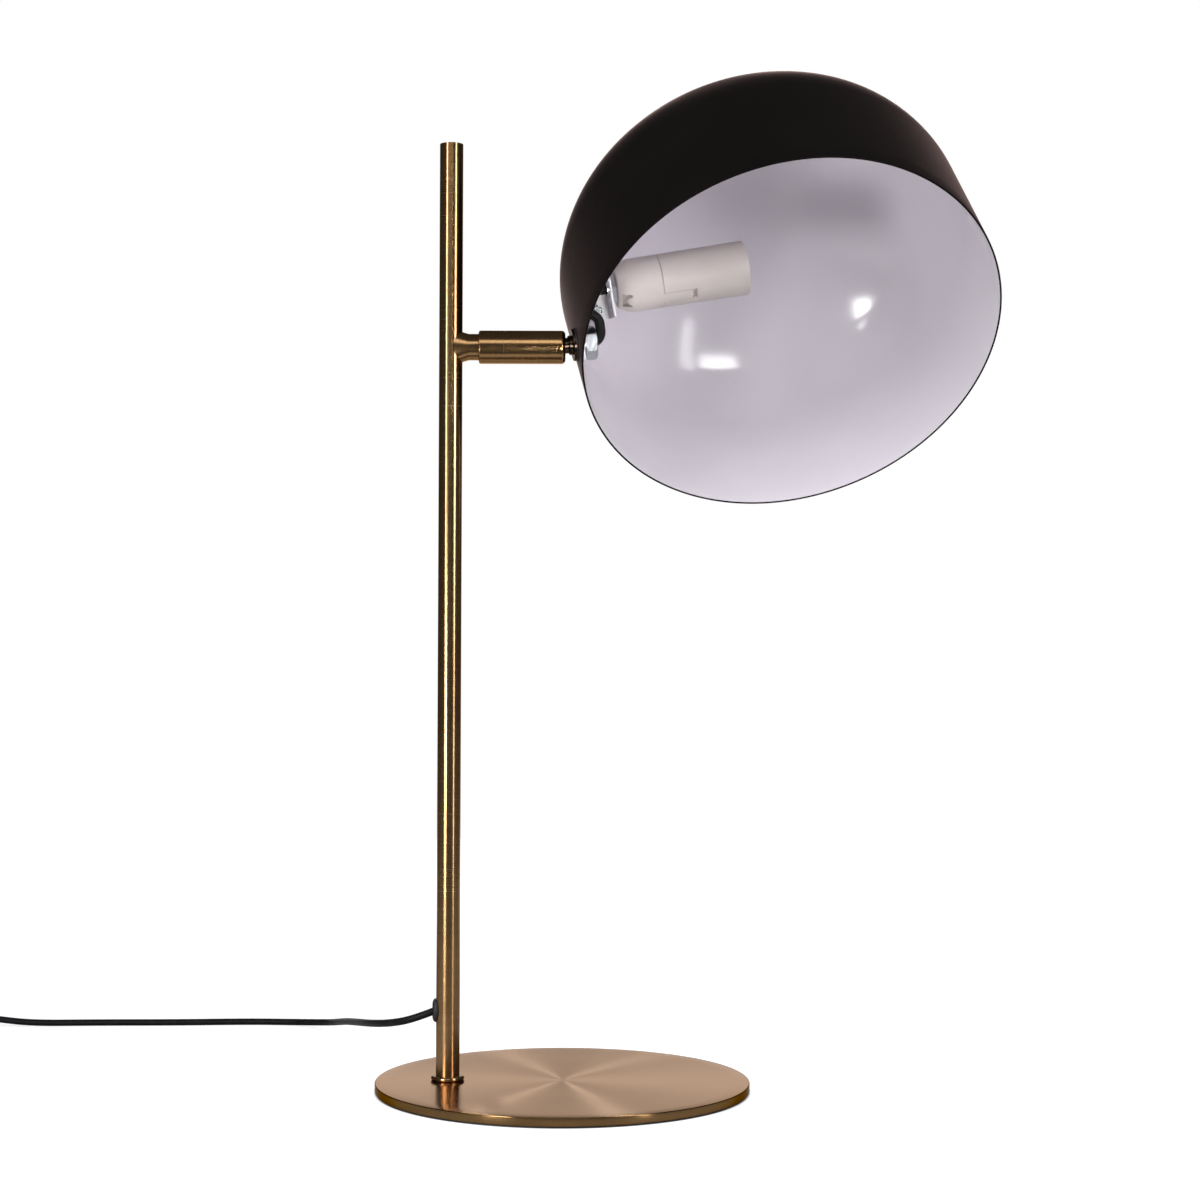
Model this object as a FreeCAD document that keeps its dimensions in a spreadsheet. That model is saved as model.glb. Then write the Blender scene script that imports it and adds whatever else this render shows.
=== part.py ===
"""A desk lamp: a round weighted base, an off-centre post, a short brazed arm with a swivel barrel and
a ball joint, and a deep spun shade that holds an E14 lampholder on a pressed bracket.

Millimetres, +Z up. The origin is the centre of the base disc on the surface that it stands on, and
+X points from the post towards the shade. The shade is drawn in the pose of the photograph.
"""

import FreeCAD, Part
import math
import os
import re
from types import SimpleNamespace

import Sketcher
from FreeCAD import Placement, Rotation, Vector

os.makedirs("parts", exist_ok=True)

UP = Vector(0, 0, 1)
ALONG = Vector(1, 0, 0)
ACROSS = Vector(0, 1, 0)

# Driving sizes in millimetres and degrees, piece by piece.
DRIVING = {
    # clearances that several pieces share
    "fit_gap": 0.03,
    "run_gap": 0.05,
    "overrun": 2.0,
    # base disc and its pad
    "base_diameter": 190.0,
    "base_height": 4.3,
    "base_edge": 0.4,
    "pad_height": 0.8,
    "pad_inset": 0.8,
    # countersunk screw from below
    "screw_diameter": 6.0,
    "screw_head": 11.3,
    "screw_length": 16.0,
    "screw_recess": 0.3,
    "screw_play": 0.3,
    "socket_width": 4.0,
    "socket_depth": 2.2,
    # post
    "post_offset": 58.3,
    "post_diameter": 12.0,
    "post_wall": 1.0,
    "post_top": 483.0,
    "cap_head": 0.8,
    "cap_plug": 6.0,
    "insert_height": 15.0,
    "foot_ring_diameter": 17.0,
    "foot_ring_height": 2.2,
    # where the cord leaves the post
    "cord_diameter": 3.8,
    "cord_height": 40.2,
    "cord_droop": 21.0,
    "cord_hole": 6.6,
    "grommet_diameter": 12.2,
    "grommet_thickness": 1.9,
    "grommet_dish": 8.4,
    "grommet_dish_depth": 1.1,
    # arm: neck, collar and swivel barrel
    "arm_height": 378.6,
    "ball_reach": 51.3,
    "neck_diameter": 13.5,
    "neck_bore": 7.5,
    "braze_spread": 9.3,
    "braze_waist": 7.4,
    "braze_start": 1.6,
    "braze_length": 3.2,
    "braze_sink": 1.2,
    "spigot_diameter": 10.0,
    "spigot_length": 10.0,
    "barrel_diameter": 17.0,
    "barrel_length": 31.15,
    "barrel_round": 2.0,
    "mouth_depth": 7.4,
    "seam_gap": 0.15,
    "collar_length": 13.0,
    "collar_edge": 1.0,
    "journal_diameter": 8.5,
    "journal_length": 9.0,
    "wire_bore": 6.0,
    "ring_groove_depth": 0.5,
    "ring_thickness": 0.8,
    "ring_diameter": 11.0,
    "ring_slot": 6.2,
    "washer_thickness": 1.0,
    "washer_diameter": 11.4,
    "bush_length": 6.0,
    "pin_diameter": 1.2,
    "pin_circle": 10.8,
    "pin_reach": 1.2,
    "pin_seat": 2.6,
    "turn_range": 330.0,
    # ball joint
    "ball_diameter": 13.0,
    "ball_bore": 4.6,
    "throat_diameter": 8.0,
    "throat_play": 0.2,
    "tilt_range": 14.0,
    "key_width": 1.8,
    "key_depth": 1.15,
    "key_root": 3.3,
    "key_top": 5.2,
    "key_slot_end": 1.5,
    "cup_length": 6.0,
    "cup_face": 2.6,
    "cup_bore": 6.4,
    "spring_thickness": 0.7,
    "spring_dish": 0.4,
    "spring_bore": 6.8,
    "sleeve_wall": 0.6,
    "lead_gap": 0.65,
    # stem, flange and what clamps the shade
    "stem_start": 8.95,
    "stem_diameter": 10.0,
    "stem_chamfer": 0.5,
    "stem_recess": 2.8,
    "flange_diameter": 16.6,
    "flange_thickness": 1.4,
    "flange_round": 0.5,
    "gasket_diameter": 17.6,
    "gasket_thickness": 0.9,
    "lock_washer_diameter": 15.0,
    "lock_washer_thickness": 0.8,
    "spring_washer_diameter": 14.6,
    "spring_washer_thickness": 1.0,
    "stem_nut_width": 15.0,
    "stem_nut_thickness": 6.0,
    # shade
    "shade_diameter": 221.0,
    "shade_wall": 1.0,
    "shade_depth": 140.0,
    "skirt_height": 66.0,
    "shoulder_radius": 50.0,
    "stem_above_rim": 16.5,
    "shade_reach": 13.3,
    "shade_turn": 44.5,
    "shade_tilt": 10.1,
    # bracket, turned about the stem as it was clamped
    "bracket_turn": 50.0,
    "sheet": 1.0,
    "sheet_bend": 0.6,
    "web_offset": 9.4,
    "foot_drop": 8.0,
    "foot_rise": 9.5,
    "ear_front": 8.0,
    "head_ear": 33.6,
    "head_drop": 14.8,
    "head_rise": 9.0,
    "holder_rise": 26.6,
    "holder_lean": 2.9,
    "holder_turn": 47.7,
    "web_bevel": 6.6,
    "web_top_chamfer": 12.0,
    "web_hole_diameter": 2.8,
    "web_hole_inset": 3.0,
    "web_hole_rise": 2.8,
    "earth_inset": 7.0,
    "earth_drop": 10.2,
    "earth_diameter": 4.0,
    "earth_head": 6.4,
    "earth_head_thickness": 1.54,
    "earth_slot_depth": 0.77,
    "earth_slot_width": 1.0,
    "earth_turn": 35.0,
    "earth_length": 5.0,
    # lampholder
    "nipple_diameter": 10.0,
    "nipple_bore": 7.2,
    "nipple_behind": 1.2,
    "nipple_ahead": 6.6,
    "holder_nut_thickness": 2.8,
    "holder_nut_width": 14.0,
    "holder_nut_turn": 30.0,
    "nut_crown_share": 0.1667,
    "holder_back_diameter": 20.4,
    "dome_curve": 9.5,
    "holder_diameter": 27.4,
    "holder_rim_diameter": 28.0,
    "dome_length": 22.8,
    "dome_straight": 6.0,
    "skirt_length": 45.6,
    "holder_wall": 1.6,
    "dome_collar": 4.5,
    "snap_width": 9.6,
    "snap_length": 15.4,
    "snap_window": 2.3,
    "snap_play": 0.25,
    "recess_start": 1.5,
    "recess_width": 8.0,
    "recess_length": 5.0,
    "recess_floor": 9.4,
    "recess_stud": 2.6,
    "socket_diameter": 13.96,
    "socket_length": 20.0,
    "socket_inset": 6.0,
    "carrier_length": 44.0,
    "contact_well": 9.0,
    "contact_well_depth": 9.0,
    "contact_width": 4.0,
    "contact_sheet": 0.5,
    "contact_drop": 1.20,
    "contact_foot_share": 0.8,
    "contact_tip_share": 0.62,
    "side_contact_length": 12.0,
    "terminal_diameter": 3.0,
    "terminal_head": 5.0,
    "terminal_head_thickness": 1.6,
    "terminal_length": 6.0,
    "terminal_pitch": 13.0,
    # sleeved lead inside the shade
    "sleeve_diameter": 5.2,
    "loop_reach": 5.9,
    "loop_rise": 12.5,
    "loop_back": 19.4,
    "loop_back_rise": 16.4,
    "loop_radius": 5.7,
    "loop_back_radius": 5.0,
    "nipple_turn_radius": 6.0,
    # lead inside the post
    "rise_radius": 11.2,
    "rise_shift": 2.0,
    "neck_turn_radius": 5.0,
    # in-line switch
    "switch_length": 58.0,
    "switch_width": 26.0,
    "switch_height": 15.0,
    "switch_split": 7.5,
    "switch_end_width": 13.0,
    "switch_shell": 1.8,
    "switch_round": 2.5,
    "switch_axis": 6.5,
    "rocker_length": 21.0,
    "rocker_width": 11.0,
    "rocker_play": 0.4,
    "rocker_taper": 1.2,
    "rocker_proud": 1.6,
    "rocker_swing": 14.0,
    "rocker_pivot": 9.5,
    "switch_screw_diameter": 3.0,
    "switch_screw_head": 5.4,
    "switch_screw_spread": 42.0,
    "switch_screw_length": 8.0,
    # coil and plug
    "coil_turns": 8.0,
    "coil_climb_turns": 0.5,
    "coil_rest_turns": 0.25,
    "coil_middle": 44.0,
    "coil_pitch": 4.3,
    "coil_layer": 4.3,
    "relief_length": 20.0,
    "relief_root": 9.0,
    "relief_tip": 5.6,
    "relief_bend": 45.0,
    "run_share": 0.45,
    "volume_share": 0.01,
    "plug_width": 35.0,
    "plug_height": 13.6,
    "plug_length": 33.0,
    "plug_tail_width": 11.0,
    "plug_tail_height": 9.0,
    "plug_relief": 22.0,
    "plug_nose": 5.8,
    "plug_bevel_share": 0.35,
    "plug_pin_diameter": 4.0,
    "plug_pin_length": 19.0,
    "plug_pin_pitch": 18.6,
    "pin_sleeve_diameter": 3.8,
    "pin_sleeve_length": 10.0,
}

size = SimpleNamespace(**DRIVING)
doc = FreeCAD.newDocument("desk_lamp")
sheet = doc.addObject("Spreadsheet::Sheet", "sizes")
pieces = []


def put(alias, value):
    """Writes one named size into the sheet and keeps it as a number."""
    row = str(len(sheet.getUsedCells()) // 2 + 1)
    sheet.set("A" + row, alias)
    sheet.set("B" + row, repr(float(value)))
    sheet.setAlias("B" + row, alias)
    setattr(size, alias, float(value))


for alias, value in DRIVING.items():
    put(alias, value)

# Sizes that follow from the driving ones.
put("base_top", size.pad_height + size.base_height)
put("post_radius", size.post_diameter / 2)
put("post_inner", size.post_radius - size.post_wall)
put("cord_radius", size.cord_diameter / 2)
put("ball_radius", size.ball_diameter / 2)
put("ball_seat", size.ball_radius + size.run_gap)
put("barrel_start", size.mouth_depth - size.barrel_length)
put("collar_end", size.barrel_start - size.seam_gap)
put("collar_start", size.collar_end - size.collar_length)
put("journal_end", size.collar_end + size.journal_length)
put("bush_end", size.barrel_start + size.bush_length)
put("washer_start", size.bush_end + size.run_gap)
put("ring_start", size.washer_start + size.washer_thickness + size.run_gap)
put("spring_height", size.spring_thickness + size.spring_dish)
put("cup_start", -size.cup_face - size.cup_length)
put("spring_start", size.cup_start - 4 * size.spring_height)
tilt_slope = math.tan(math.radians(size.tilt_range))
throat_reach = size.throat_diameter / 2 / math.cos(math.radians(size.tilt_range)) + size.throat_play


def lip_place():
    """Where the mouth's cone meets the ball seat: a point on the sphere that the tilted throat clears."""
    a = 1 + tilt_slope**2
    b = throat_reach * tilt_slope
    c = throat_reach**2 - size.ball_seat**2
    return (-b + math.sqrt(b * b - a * c)) / a


put("lip_place", lip_place())
put("lip_radius", throat_reach + size.lip_place * tilt_slope)
put("mouth_radius", throat_reach + size.mouth_depth * tilt_slope)
put("stem_radius", size.stem_diameter / 2)
put("gasket_start", size.shade_reach - size.gasket_thickness)
put("flange_start", size.gasket_start - size.flange_thickness)
put("shade_radius", size.shade_diameter / 2)
inner_radius = size.shade_radius - size.shade_wall
washer_half = size.lock_washer_diameter / 2
put("wall_seat", size.shade_reach + size.shade_radius - math.sqrt(inner_radius**2 - washer_half**2))
put("foot_start", size.wall_seat + size.lock_washer_thickness)
put("foot_end", size.foot_start + size.sheet)
put("nut_start", size.foot_end + size.spring_washer_thickness)
put("nut_end", size.nut_start + size.stem_nut_thickness)
put("stem_end", size.nut_end - size.stem_recess)
crown_span = size.shade_radius - size.shoulder_radius
crown_rise = size.shade_depth - size.skirt_height
put("crown_radius", (crown_span**2 + crown_rise**2 - size.shoulder_radius**2)
    / (2 * (crown_rise - size.shoulder_radius)))
put("crown_centre", size.shade_depth - size.crown_radius)
put("crown_share", crown_span / (size.crown_radius - size.shoulder_radius))
put("crown_lift_share", (size.crown_radius - crown_rise) / (size.crown_radius - size.shoulder_radius))
put("dome_start", size.holder_nut_thickness)
dome_rise = (size.holder_diameter - size.holder_back_diameter) / 2
put("dome_arc", (size.dome_curve**2 + dome_rise**2) / (2 * dome_rise))
put("dome_end", size.dome_start + size.dome_length)
put("holder_rim", size.dome_end + size.skirt_length)
put("socket_mouth", size.holder_rim - size.socket_inset)
put("socket_floor", size.socket_mouth - size.socket_length)
put("carrier_start", size.socket_mouth - size.carrier_length)
put("rocker_top", size.switch_height + size.rocker_proud)
put("rocker_slope", math.tan(math.radians(size.rocker_swing / 2)))
put("stem_lead_start", size.lead_gap - size.ball_radius)

# The frames that the pieces are drawn in.
BALL = Vector(size.ball_reach - size.post_offset, 0, size.arm_height)
STAND = Placement()
POST = Placement(Vector(-size.post_offset, 0, 0), Rotation())
ARM = Placement(BALL, Rotation())
BARREL = Placement(BALL, Rotation(ALONG, -size.shade_turn))
SHADE = BARREL * Placement(Vector(), Rotation(ACROSS, -size.shade_tilt))
SHADE_AXIS = SHADE * Placement(Vector(size.shade_reach + size.shade_radius, 0, -size.stem_above_rim),
                               Rotation())
BRACKET = SHADE * Placement(Vector(), Rotation(ALONG, size.bracket_turn))
EAR = BRACKET * Placement(Vector(size.head_ear, 0, size.holder_rise), Rotation(ACROSS, -size.holder_lean))
HOLDER = EAR * Placement(Vector(), Rotation(ALONG, -size.holder_turn))


def bind(text):
    """The expression with each named size read from the sheet."""
    return re.sub(r"[a-z]\w*", lambda word: "sizes." + word[0] if hasattr(size, word[0]) else word[0], text)


def number(text):
    """The value of an expression of named sizes."""
    return float(sheet.evalExpression(bind(text)))


def tie(thing, name, text):
    """Binds a property of an object to an expression of named sizes."""
    thing.setExpression(name, bind(text))


def keep(thing, name, frame=STAND):
    """Names a finished piece and puts it in its place, in a wrapper if its own place is bound."""
    if any(path.lstrip(".").startswith("Placement") for path, text in thing.ExpressionEngine):
        thing.Label = name + "_unplaced"
        thing = group(name + "_placed", thing)
    thing.Label = name
    thing.Placement = frame * thing.Placement
    pieces.append(thing)
    return thing


def origin_plane(body, role):
    return [feature for feature in body.Origin.OriginFeatures if feature.Role == role][0]


def new_sketch(body, name, plane):
    sketch = body.newObject("Sketcher::SketchObject", name)
    sketch.AttachmentSupport = [(origin_plane(body, plane), "")]
    sketch.MapMode = "FlatFace"
    return sketch


def hold(sketch, kind, axis, geometry, corner, text, name):
    """Fixes one coordinate of a corner: on the axis where it is nought, else at its named distance."""
    if text == "0":
        sketch.addConstraint(Sketcher.Constraint("PointOnObject", geometry, corner, axis))
        return
    place = Sketcher.Constraint(kind, -1, 1, geometry, corner, number(text))
    index = sketch.addConstraint(place)
    sketch.renameConstraint(index, name)
    tie(sketch, "Constraints." + name, text)


def closed_outline(sketch, steps):
    """A closed outline. Each step is the corner (x, y) that a line leads to, or (x, y, centre x,
    centre y) for an arc of under a half circle that leads to it."""
    corners = [Vector(number(step[0]), number(step[1]), 0) for step in steps]
    edges = []
    for index, step in enumerate(steps):
        start = corners[index - 1]
        end = corners[index]
        if len(step) == 2:
            geometry = sketch.addGeometry(Part.LineSegment(start, end), False)
            edges.append((geometry, 1, 2))
            continue
        centre = Vector(number(step[2]), number(step[3]), 0)
        forward = (start - centre).cross(end - centre).z > 0
        first, last = (start, end) if forward else (end, start)
        angles = [math.atan2(p.y - centre.y, p.x - centre.x) for p in (first, last)]
        circle = Part.Circle(centre, UP, (start - centre).Length)
        geometry = sketch.addGeometry(Part.ArcOfCircle(circle, *angles), False)
        edges.append((geometry, 1, 2) if forward else (geometry, 2, 1))
    for index, edge in enumerate(edges):
        before = edges[index - 1]
        sketch.addConstraint(Sketcher.Constraint("Coincident", before[0], before[2], edge[0], edge[1]))
    for index, (step, edge) in enumerate(zip(steps, edges)):
        tag = "corner" + str(index)
        hold(sketch, "DistanceX", -2, edge[0], edge[2], step[0], tag + "x")
        hold(sketch, "DistanceY", -1, edge[0], edge[2], step[1], tag + "y")
        if len(step) == 4:
            chord = corners[index] - corners[index - 1]
            if abs(chord.y) > abs(chord.x):
                hold(sketch, "DistanceX", -2, edge[0], 3, step[2], tag + "centre")
            else:
                hold(sketch, "DistanceY", -1, edge[0], 3, step[3], tag + "centre")
    return sketch


def new_body(name):
    return doc.addObject("PartDesign::Body", name)


def turned(name, steps, axis="H_Axis"):
    """A body of revolution: about X from an outline of (along, radius), or about Z (V_Axis) from one
    of (radius, height)."""
    body = new_body(name)
    sketch = closed_outline(new_sketch(body, name + "_outline", "XZ_Plane"), steps)
    solid = body.newObject("PartDesign::Revolution", name + "_turned")
    solid.Profile = sketch
    solid.ReferenceAxis = (sketch, [axis])
    solid.Angle = 360
    return body


def ring(name, start, end, inner, outer):
    """A plain ring about X."""
    return turned(name, [(start, inner), (start, outer), (end, outer), (end, inner)])


def pressed(name, plane, steps, length, middle=False):
    """A body pushed out of an outline on one of its own planes."""
    body = new_body(name)
    sketch = closed_outline(new_sketch(body, name + "_outline", plane), steps)
    solid = body.newObject("PartDesign::Pad", name + "_pushed")
    solid.Profile = sketch
    tie(solid, "Length", length)
    solid.Midplane = middle
    return body


def place_tool(tool, base, direction):
    tool.Placement = Placement(Vector(*[number(text) for text in base]), Rotation(UP, direction))
    for axis, text in zip("xyz", base):
        if text != "0":
            tie(tool, ".Placement.Base." + axis, text)
    return tool


def rod(name, radius, height, base=("0", "0", "0"), direction=UP):
    tool = doc.addObject("Part::Cylinder", name)
    tie(tool, "Radius", radius)
    tie(tool, "Height", height)
    return place_tool(tool, base, direction)


def cone(name, first, second, height, base=("0", "0", "0"), direction=UP):
    tool = doc.addObject("Part::Cone", name)
    tie(tool, "Radius1", first)
    tie(tool, "Radius2", second)
    tie(tool, "Height", height)
    return place_tool(tool, base, direction)


def block(name, low, high):
    """A box between two corners of named places."""
    tool = doc.addObject("Part::Box", name)
    for side, first, last in zip(("Length", "Width", "Height"), low, high):
        tie(tool, side, "(" + last + ") - (" + first + ")")
    return place_tool(tool, low, UP)


def ball(name, radius):
    tool = doc.addObject("Part::Sphere", name)
    tie(tool, "Radius", radius)
    return tool


def hexagon(name, width, thickness, start):
    """A hexagonal bar along X, measured across its flats."""
    tool = doc.addObject("Part::Prism", name)
    tool.Polygon = 6
    tie(tool, "Circumradius", width + " / sqrt(3)")
    tie(tool, "Height", thickness)
    return place_tool(tool, (start, "0", "0"), ALONG)


def cut(name, base, *tools):
    """The base with the tools taken out of it."""
    result = base
    for index, tool in enumerate(tools):
        step = doc.addObject("Part::Cut", name + "_cut" + str(index + 1))
        step.Base = result
        step.Tool = tool
        result = step
    return result


def joined(name, *shapes):
    result = doc.addObject("Part::MultiFuse", name)
    result.Shapes = list(shapes)
    return result


def common(name, first, second):
    result = doc.addObject("Part::Common", name)
    result.Base = first
    result.Tool = second
    return result


def group(name, *shapes):
    """Several like solids in one piece."""
    result = doc.addObject("Part::Compound", name)
    result.Links = list(shapes)
    return result


def solid_of(name, shape):
    """A piece whose shape is worked out here."""
    thing = doc.addObject("Part::Feature", name)
    thing.Shape = shape
    return thing


def nut(name, width, thickness, start, hole):
    """A hexagon nut on X, its bore opened by the named clearance."""
    bar = hexagon(name + "_bar", width, thickness, start)
    rounding = turned(name + "_crown", [
        (start, "0"),
        (start, width + " / 2"),
        (start + " + " + thickness + " * nut_crown_share", width + " / sqrt(3)"),
        (start + " + " + thickness + " * (1 - nut_crown_share)", width + " / sqrt(3)"),
        (start + " + " + thickness, width + " / 2"),
        (start + " + " + thickness, "0"),
    ])
    blank = common(name + "_blank", bar, rounding)
    bore = rod(name + "_bore", hole + " / 2 + fit_gap", thickness + " + 2 * overrun",
               (start + " - overrun", "0", "0"), ALONG)
    return cut(name, blank, bore)


def straight_and_arcs(points, radii):
    """A wire of straight runs joined by tangent arcs at the inner points."""
    edges = []
    here = points[0]
    for before, corner, after, radius in zip(points, points[1:], points[2:], radii):
        into = (corner - before).normalize()
        out = (after - corner).normalize()
        half = into.getAngle(out) / 2
        reach = radius * math.tan(half)
        start = corner - into * reach
        end = corner + out * reach
        inward = (out - into).normalize()
        middle = corner + inward * (radius / math.cos(half) - radius)
        if (start - here).Length > 1e-6:
            edges.append(Part.LineSegment(here, start).toShape())
        edges.append(Part.Arc(start, middle, end).toShape())
        here = end
    edges.append(Part.LineSegment(here, points[-1]).toShape())
    return Part.Wire(edges)


def tube_on(wire, radius):
    """A round tube on a wire, and a check of its volume against section times length."""
    first = wire.Edges[0]
    start = first.valueAt(first.FirstParameter)
    ahead = first.tangentAt(first.FirstParameter)
    circle = Part.Wire([Part.Circle(start, ahead, radius).toShape()])
    tube = wire.makePipeShell([circle], True, False)
    if tube.Volume < 0:
        tube.reverse()
    wanted = math.pi * radius**2 * wire.Length
    if abs(tube.Volume - wanted) > size.volume_share * wanted:
        raise ValueError("the tube holds %.1f and not %.1f" % (tube.Volume, wanted))
    return tube


def largest_radii(points):
    """For a free cord: each arc as large as its two runs allow."""
    radii = []
    for before, corner, after in zip(points, points[1:], points[2:]):
        into = corner - before
        out = after - corner
        radii.append(size.run_share * min(into.Length, out.Length) / math.tan(into.getAngle(out) / 2))
    return radii


# Base disc, pad and the screw that holds the post.
def build_base():
    edge = "base_diameter / 2 - base_edge"
    disc = turned("base_plate_disc", [
        ("0", "pad_height"),
        ("base_diameter / 2", "pad_height"),
        ("base_diameter / 2", "base_top - base_edge"),
        (edge, "base_top", edge, "base_top - base_edge"),
        ("0", "base_top"),
    ], "V_Axis")
    centre = "-post_offset"
    head_radius = "screw_head / 2 + fit_gap"
    hole = rod("base_plate_hole", "screw_diameter / 2 + screw_play", "base_height + 2 * overrun",
               (centre, "0", "pad_height - overrun"))
    sink = cone("base_plate_sink", head_radius, "screw_diameter / 2 + fit_gap",
                "(screw_head - screw_diameter) / 2",
                (centre, "0", "pad_height + screw_recess"))
    mouth = rod("base_plate_mouth", head_radius, "screw_recess + overrun",
                (centre, "0", "pad_height - overrun"))
    keep(cut("base_plate", disc, hole, sink, mouth), "base_plate")

    keep(rod("base_pad", "base_diameter / 2 - pad_inset", "pad_height"), "base_pad")

    low = "pad_height + screw_recess"
    screw = turned("base_screw_blank", [
        ("0", low),
        ("screw_head / 2", low),
        ("screw_diameter / 2", low + " + (screw_head - screw_diameter) / 2"),
        ("screw_diameter / 2", low + " + screw_length"),
        ("0", low + " + screw_length"),
    ], "V_Axis")
    key = doc.addObject("Part::Prism", "base_screw_key")
    key.Polygon = 6
    tie(key, "Circumradius", "socket_width / sqrt(3)")
    tie(key, "Height", "socket_depth + overrun")
    place_tool(key, ("0", "0", low + " - overrun"), UP)
    keep(cut("base_screw", screw, key), "base_screw", POST)


# Post tube, its foot, its cap and the bead round its foot.
def build_post():
    tube = turned("post_tube_blank", [
        ("post_inner", "base_top"),
        ("post_radius", "base_top"),
        ("post_radius", "post_top - cap_head"),
        ("post_inner", "post_top - cap_head"),
    ], "V_Axis")
    cord_hole = rod("post_cord_hole", "cord_hole / 2", "post_radius + overrun", ("0", "0",
                                                                                 "cord_height"), -ALONG)
    arm_hole = rod("post_arm_hole", "neck_bore / 2", "post_radius + overrun", ("0", "0", "arm_height"),
                   ALONG)
    keep(cut("post_tube", tube, cord_hole, arm_hole), "post_tube", POST)

    seat = "post_top - cap_head"
    keep(turned("post_cap", [
        ("0", seat + " - cap_plug"),
        ("post_inner - fit_gap", seat + " - cap_plug"),
        ("post_inner - fit_gap", seat),
        ("post_radius", seat),
        ("post_radius", "post_top"),
        ("0", "post_top"),
    ], "V_Axis"), "post_cap", POST)

    keep(turned("foot_insert", [
        ("screw_diameter / 2 + fit_gap", "base_top"),
        ("post_inner - fit_gap", "base_top"),
        ("post_inner - fit_gap", "base_top + insert_height"),
        ("screw_diameter / 2 + fit_gap", "base_top + insert_height"),
    ], "V_Axis"), "foot_insert", POST)

    bead = "foot_ring_diameter / 2 - foot_ring_height / 2"
    middle = "base_top + foot_ring_height / 2"
    keep(turned("foot_ring", [
        ("post_radius + fit_gap", "base_top"),
        (bead, "base_top"),
        ("foot_ring_diameter / 2", middle, bead, middle),
        (bead, "base_top + foot_ring_height", bead, middle),
        ("post_radius + fit_gap", "base_top + foot_ring_height"),
    ], "V_Axis"), "foot_ring", POST)


# The rubber grommet, bent round the post, with the cord's drooping bore through it.
def droop_direction():
    droop = math.radians(size.cord_droop)
    return Vector(-math.cos(droop), 0, -math.sin(droop))


def droop_point(beyond):
    """The place on the cord's line that is this far beyond the post's wall, in the post's frame."""
    out = droop_direction()
    reach = (size.post_radius + beyond) / -out.x
    return Vector(0, 0, size.cord_height) + out * reach - Vector(0, 0, out.z / -out.x * size.post_radius)


def build_grommet():
    low = "cord_height - grommet_diameter"
    outside = rod("grommet_outside", "post_radius + grommet_thickness", "2 * grommet_diameter", ("0",
                                                                                                 "0", low))
    inside = rod("grommet_inside", "post_radius + fit_gap", "2 * grommet_diameter + 2 * overrun",
                 ("0", "0", low + " - overrun"))
    shell = cut("grommet_shell", outside, inside)
    disc = rod("grommet_disc", "grommet_diameter / 2", "post_diameter", ("0", "0", "cord_height"), -ALONG)
    saddle = common("grommet_saddle", shell, disc)
    neck = rod("grommet_neck", "cord_hole / 2 - fit_gap", "post_wall + grommet_thickness / 2",
               ("-post_inner", "0", "cord_height"), -ALONG)
    whole = joined("grommet_whole", saddle, neck)
    dish = cone("grommet_dish", "cord_radius", "grommet_dish / 2", "grommet_dish_depth + overrun / 2",
                ("-(post_radius + grommet_thickness - grommet_dish_depth)", "0", "cord_height"), -ALONG)
    bore = rod("grommet_bore", "cord_radius + fit_gap", "post_diameter")
    start = droop_point(-size.post_wall - size.overrun)
    bore.Placement = Placement(start, Rotation(UP, droop_direction()))
    keep(cut("cord_grommet", whole, dish, bore), "cord_grommet", POST)


# The neck, coped to the post and flared by its braze.
def build_neck():
    centre = "-ball_reach"
    sections = []
    stations = [
        (centre + " + braze_start", "braze_spread", "post_radius"),
        (centre + " + post_radius + braze_length / 3", "braze_waist",
         "(post_radius + neck_diameter / 2) / 2"),
        (centre + " + post_radius + braze_length + braze_sink", "neck_diameter / 2 - braze_sink / 4",
         "neck_diameter / 2 - braze_sink / 3"),
    ]
    for index, (place, tall, wide) in enumerate(stations):
        oval = doc.addObject("Part::Ellipse", "neck_section" + str(index))
        tie(oval, "MajorRadius", tall)
        tie(oval, "MinorRadius", wide)
        oval.Placement = Placement(Vector(number(place), 0, 0), Rotation(ACROSS, 90))
        tie(oval, ".Placement.Base.x", place)
        sections.append(oval)
    flare = doc.addObject("Part::Loft", "neck_flare")
    flare.Sections = sections
    flare.Solid = True
    start = centre + " + post_radius + braze_length"
    bar = rod("neck_bar", "neck_diameter / 2", "collar_start - (" + start + ")", (start, "0", "0"), ALONG)
    spigot = rod("neck_spigot", "spigot_diameter / 2", "spigot_length + overrun",
                 ("collar_start - overrun", "0", "0"), ALONG)
    whole = joined("neck_whole", flare, bar, spigot)
    post_room = rod("neck_cope", "post_radius + fit_gap", "4 * braze_spread", (centre, "0",
                                                                               "-2 * braze_spread"))
    bore = rod("neck_wire_bore", "neck_bore / 2", "ball_reach", (centre, "0", "0"), ALONG)
    keep(cut("arm_neck", whole, post_room, bore), "arm_neck", ARM)


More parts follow.
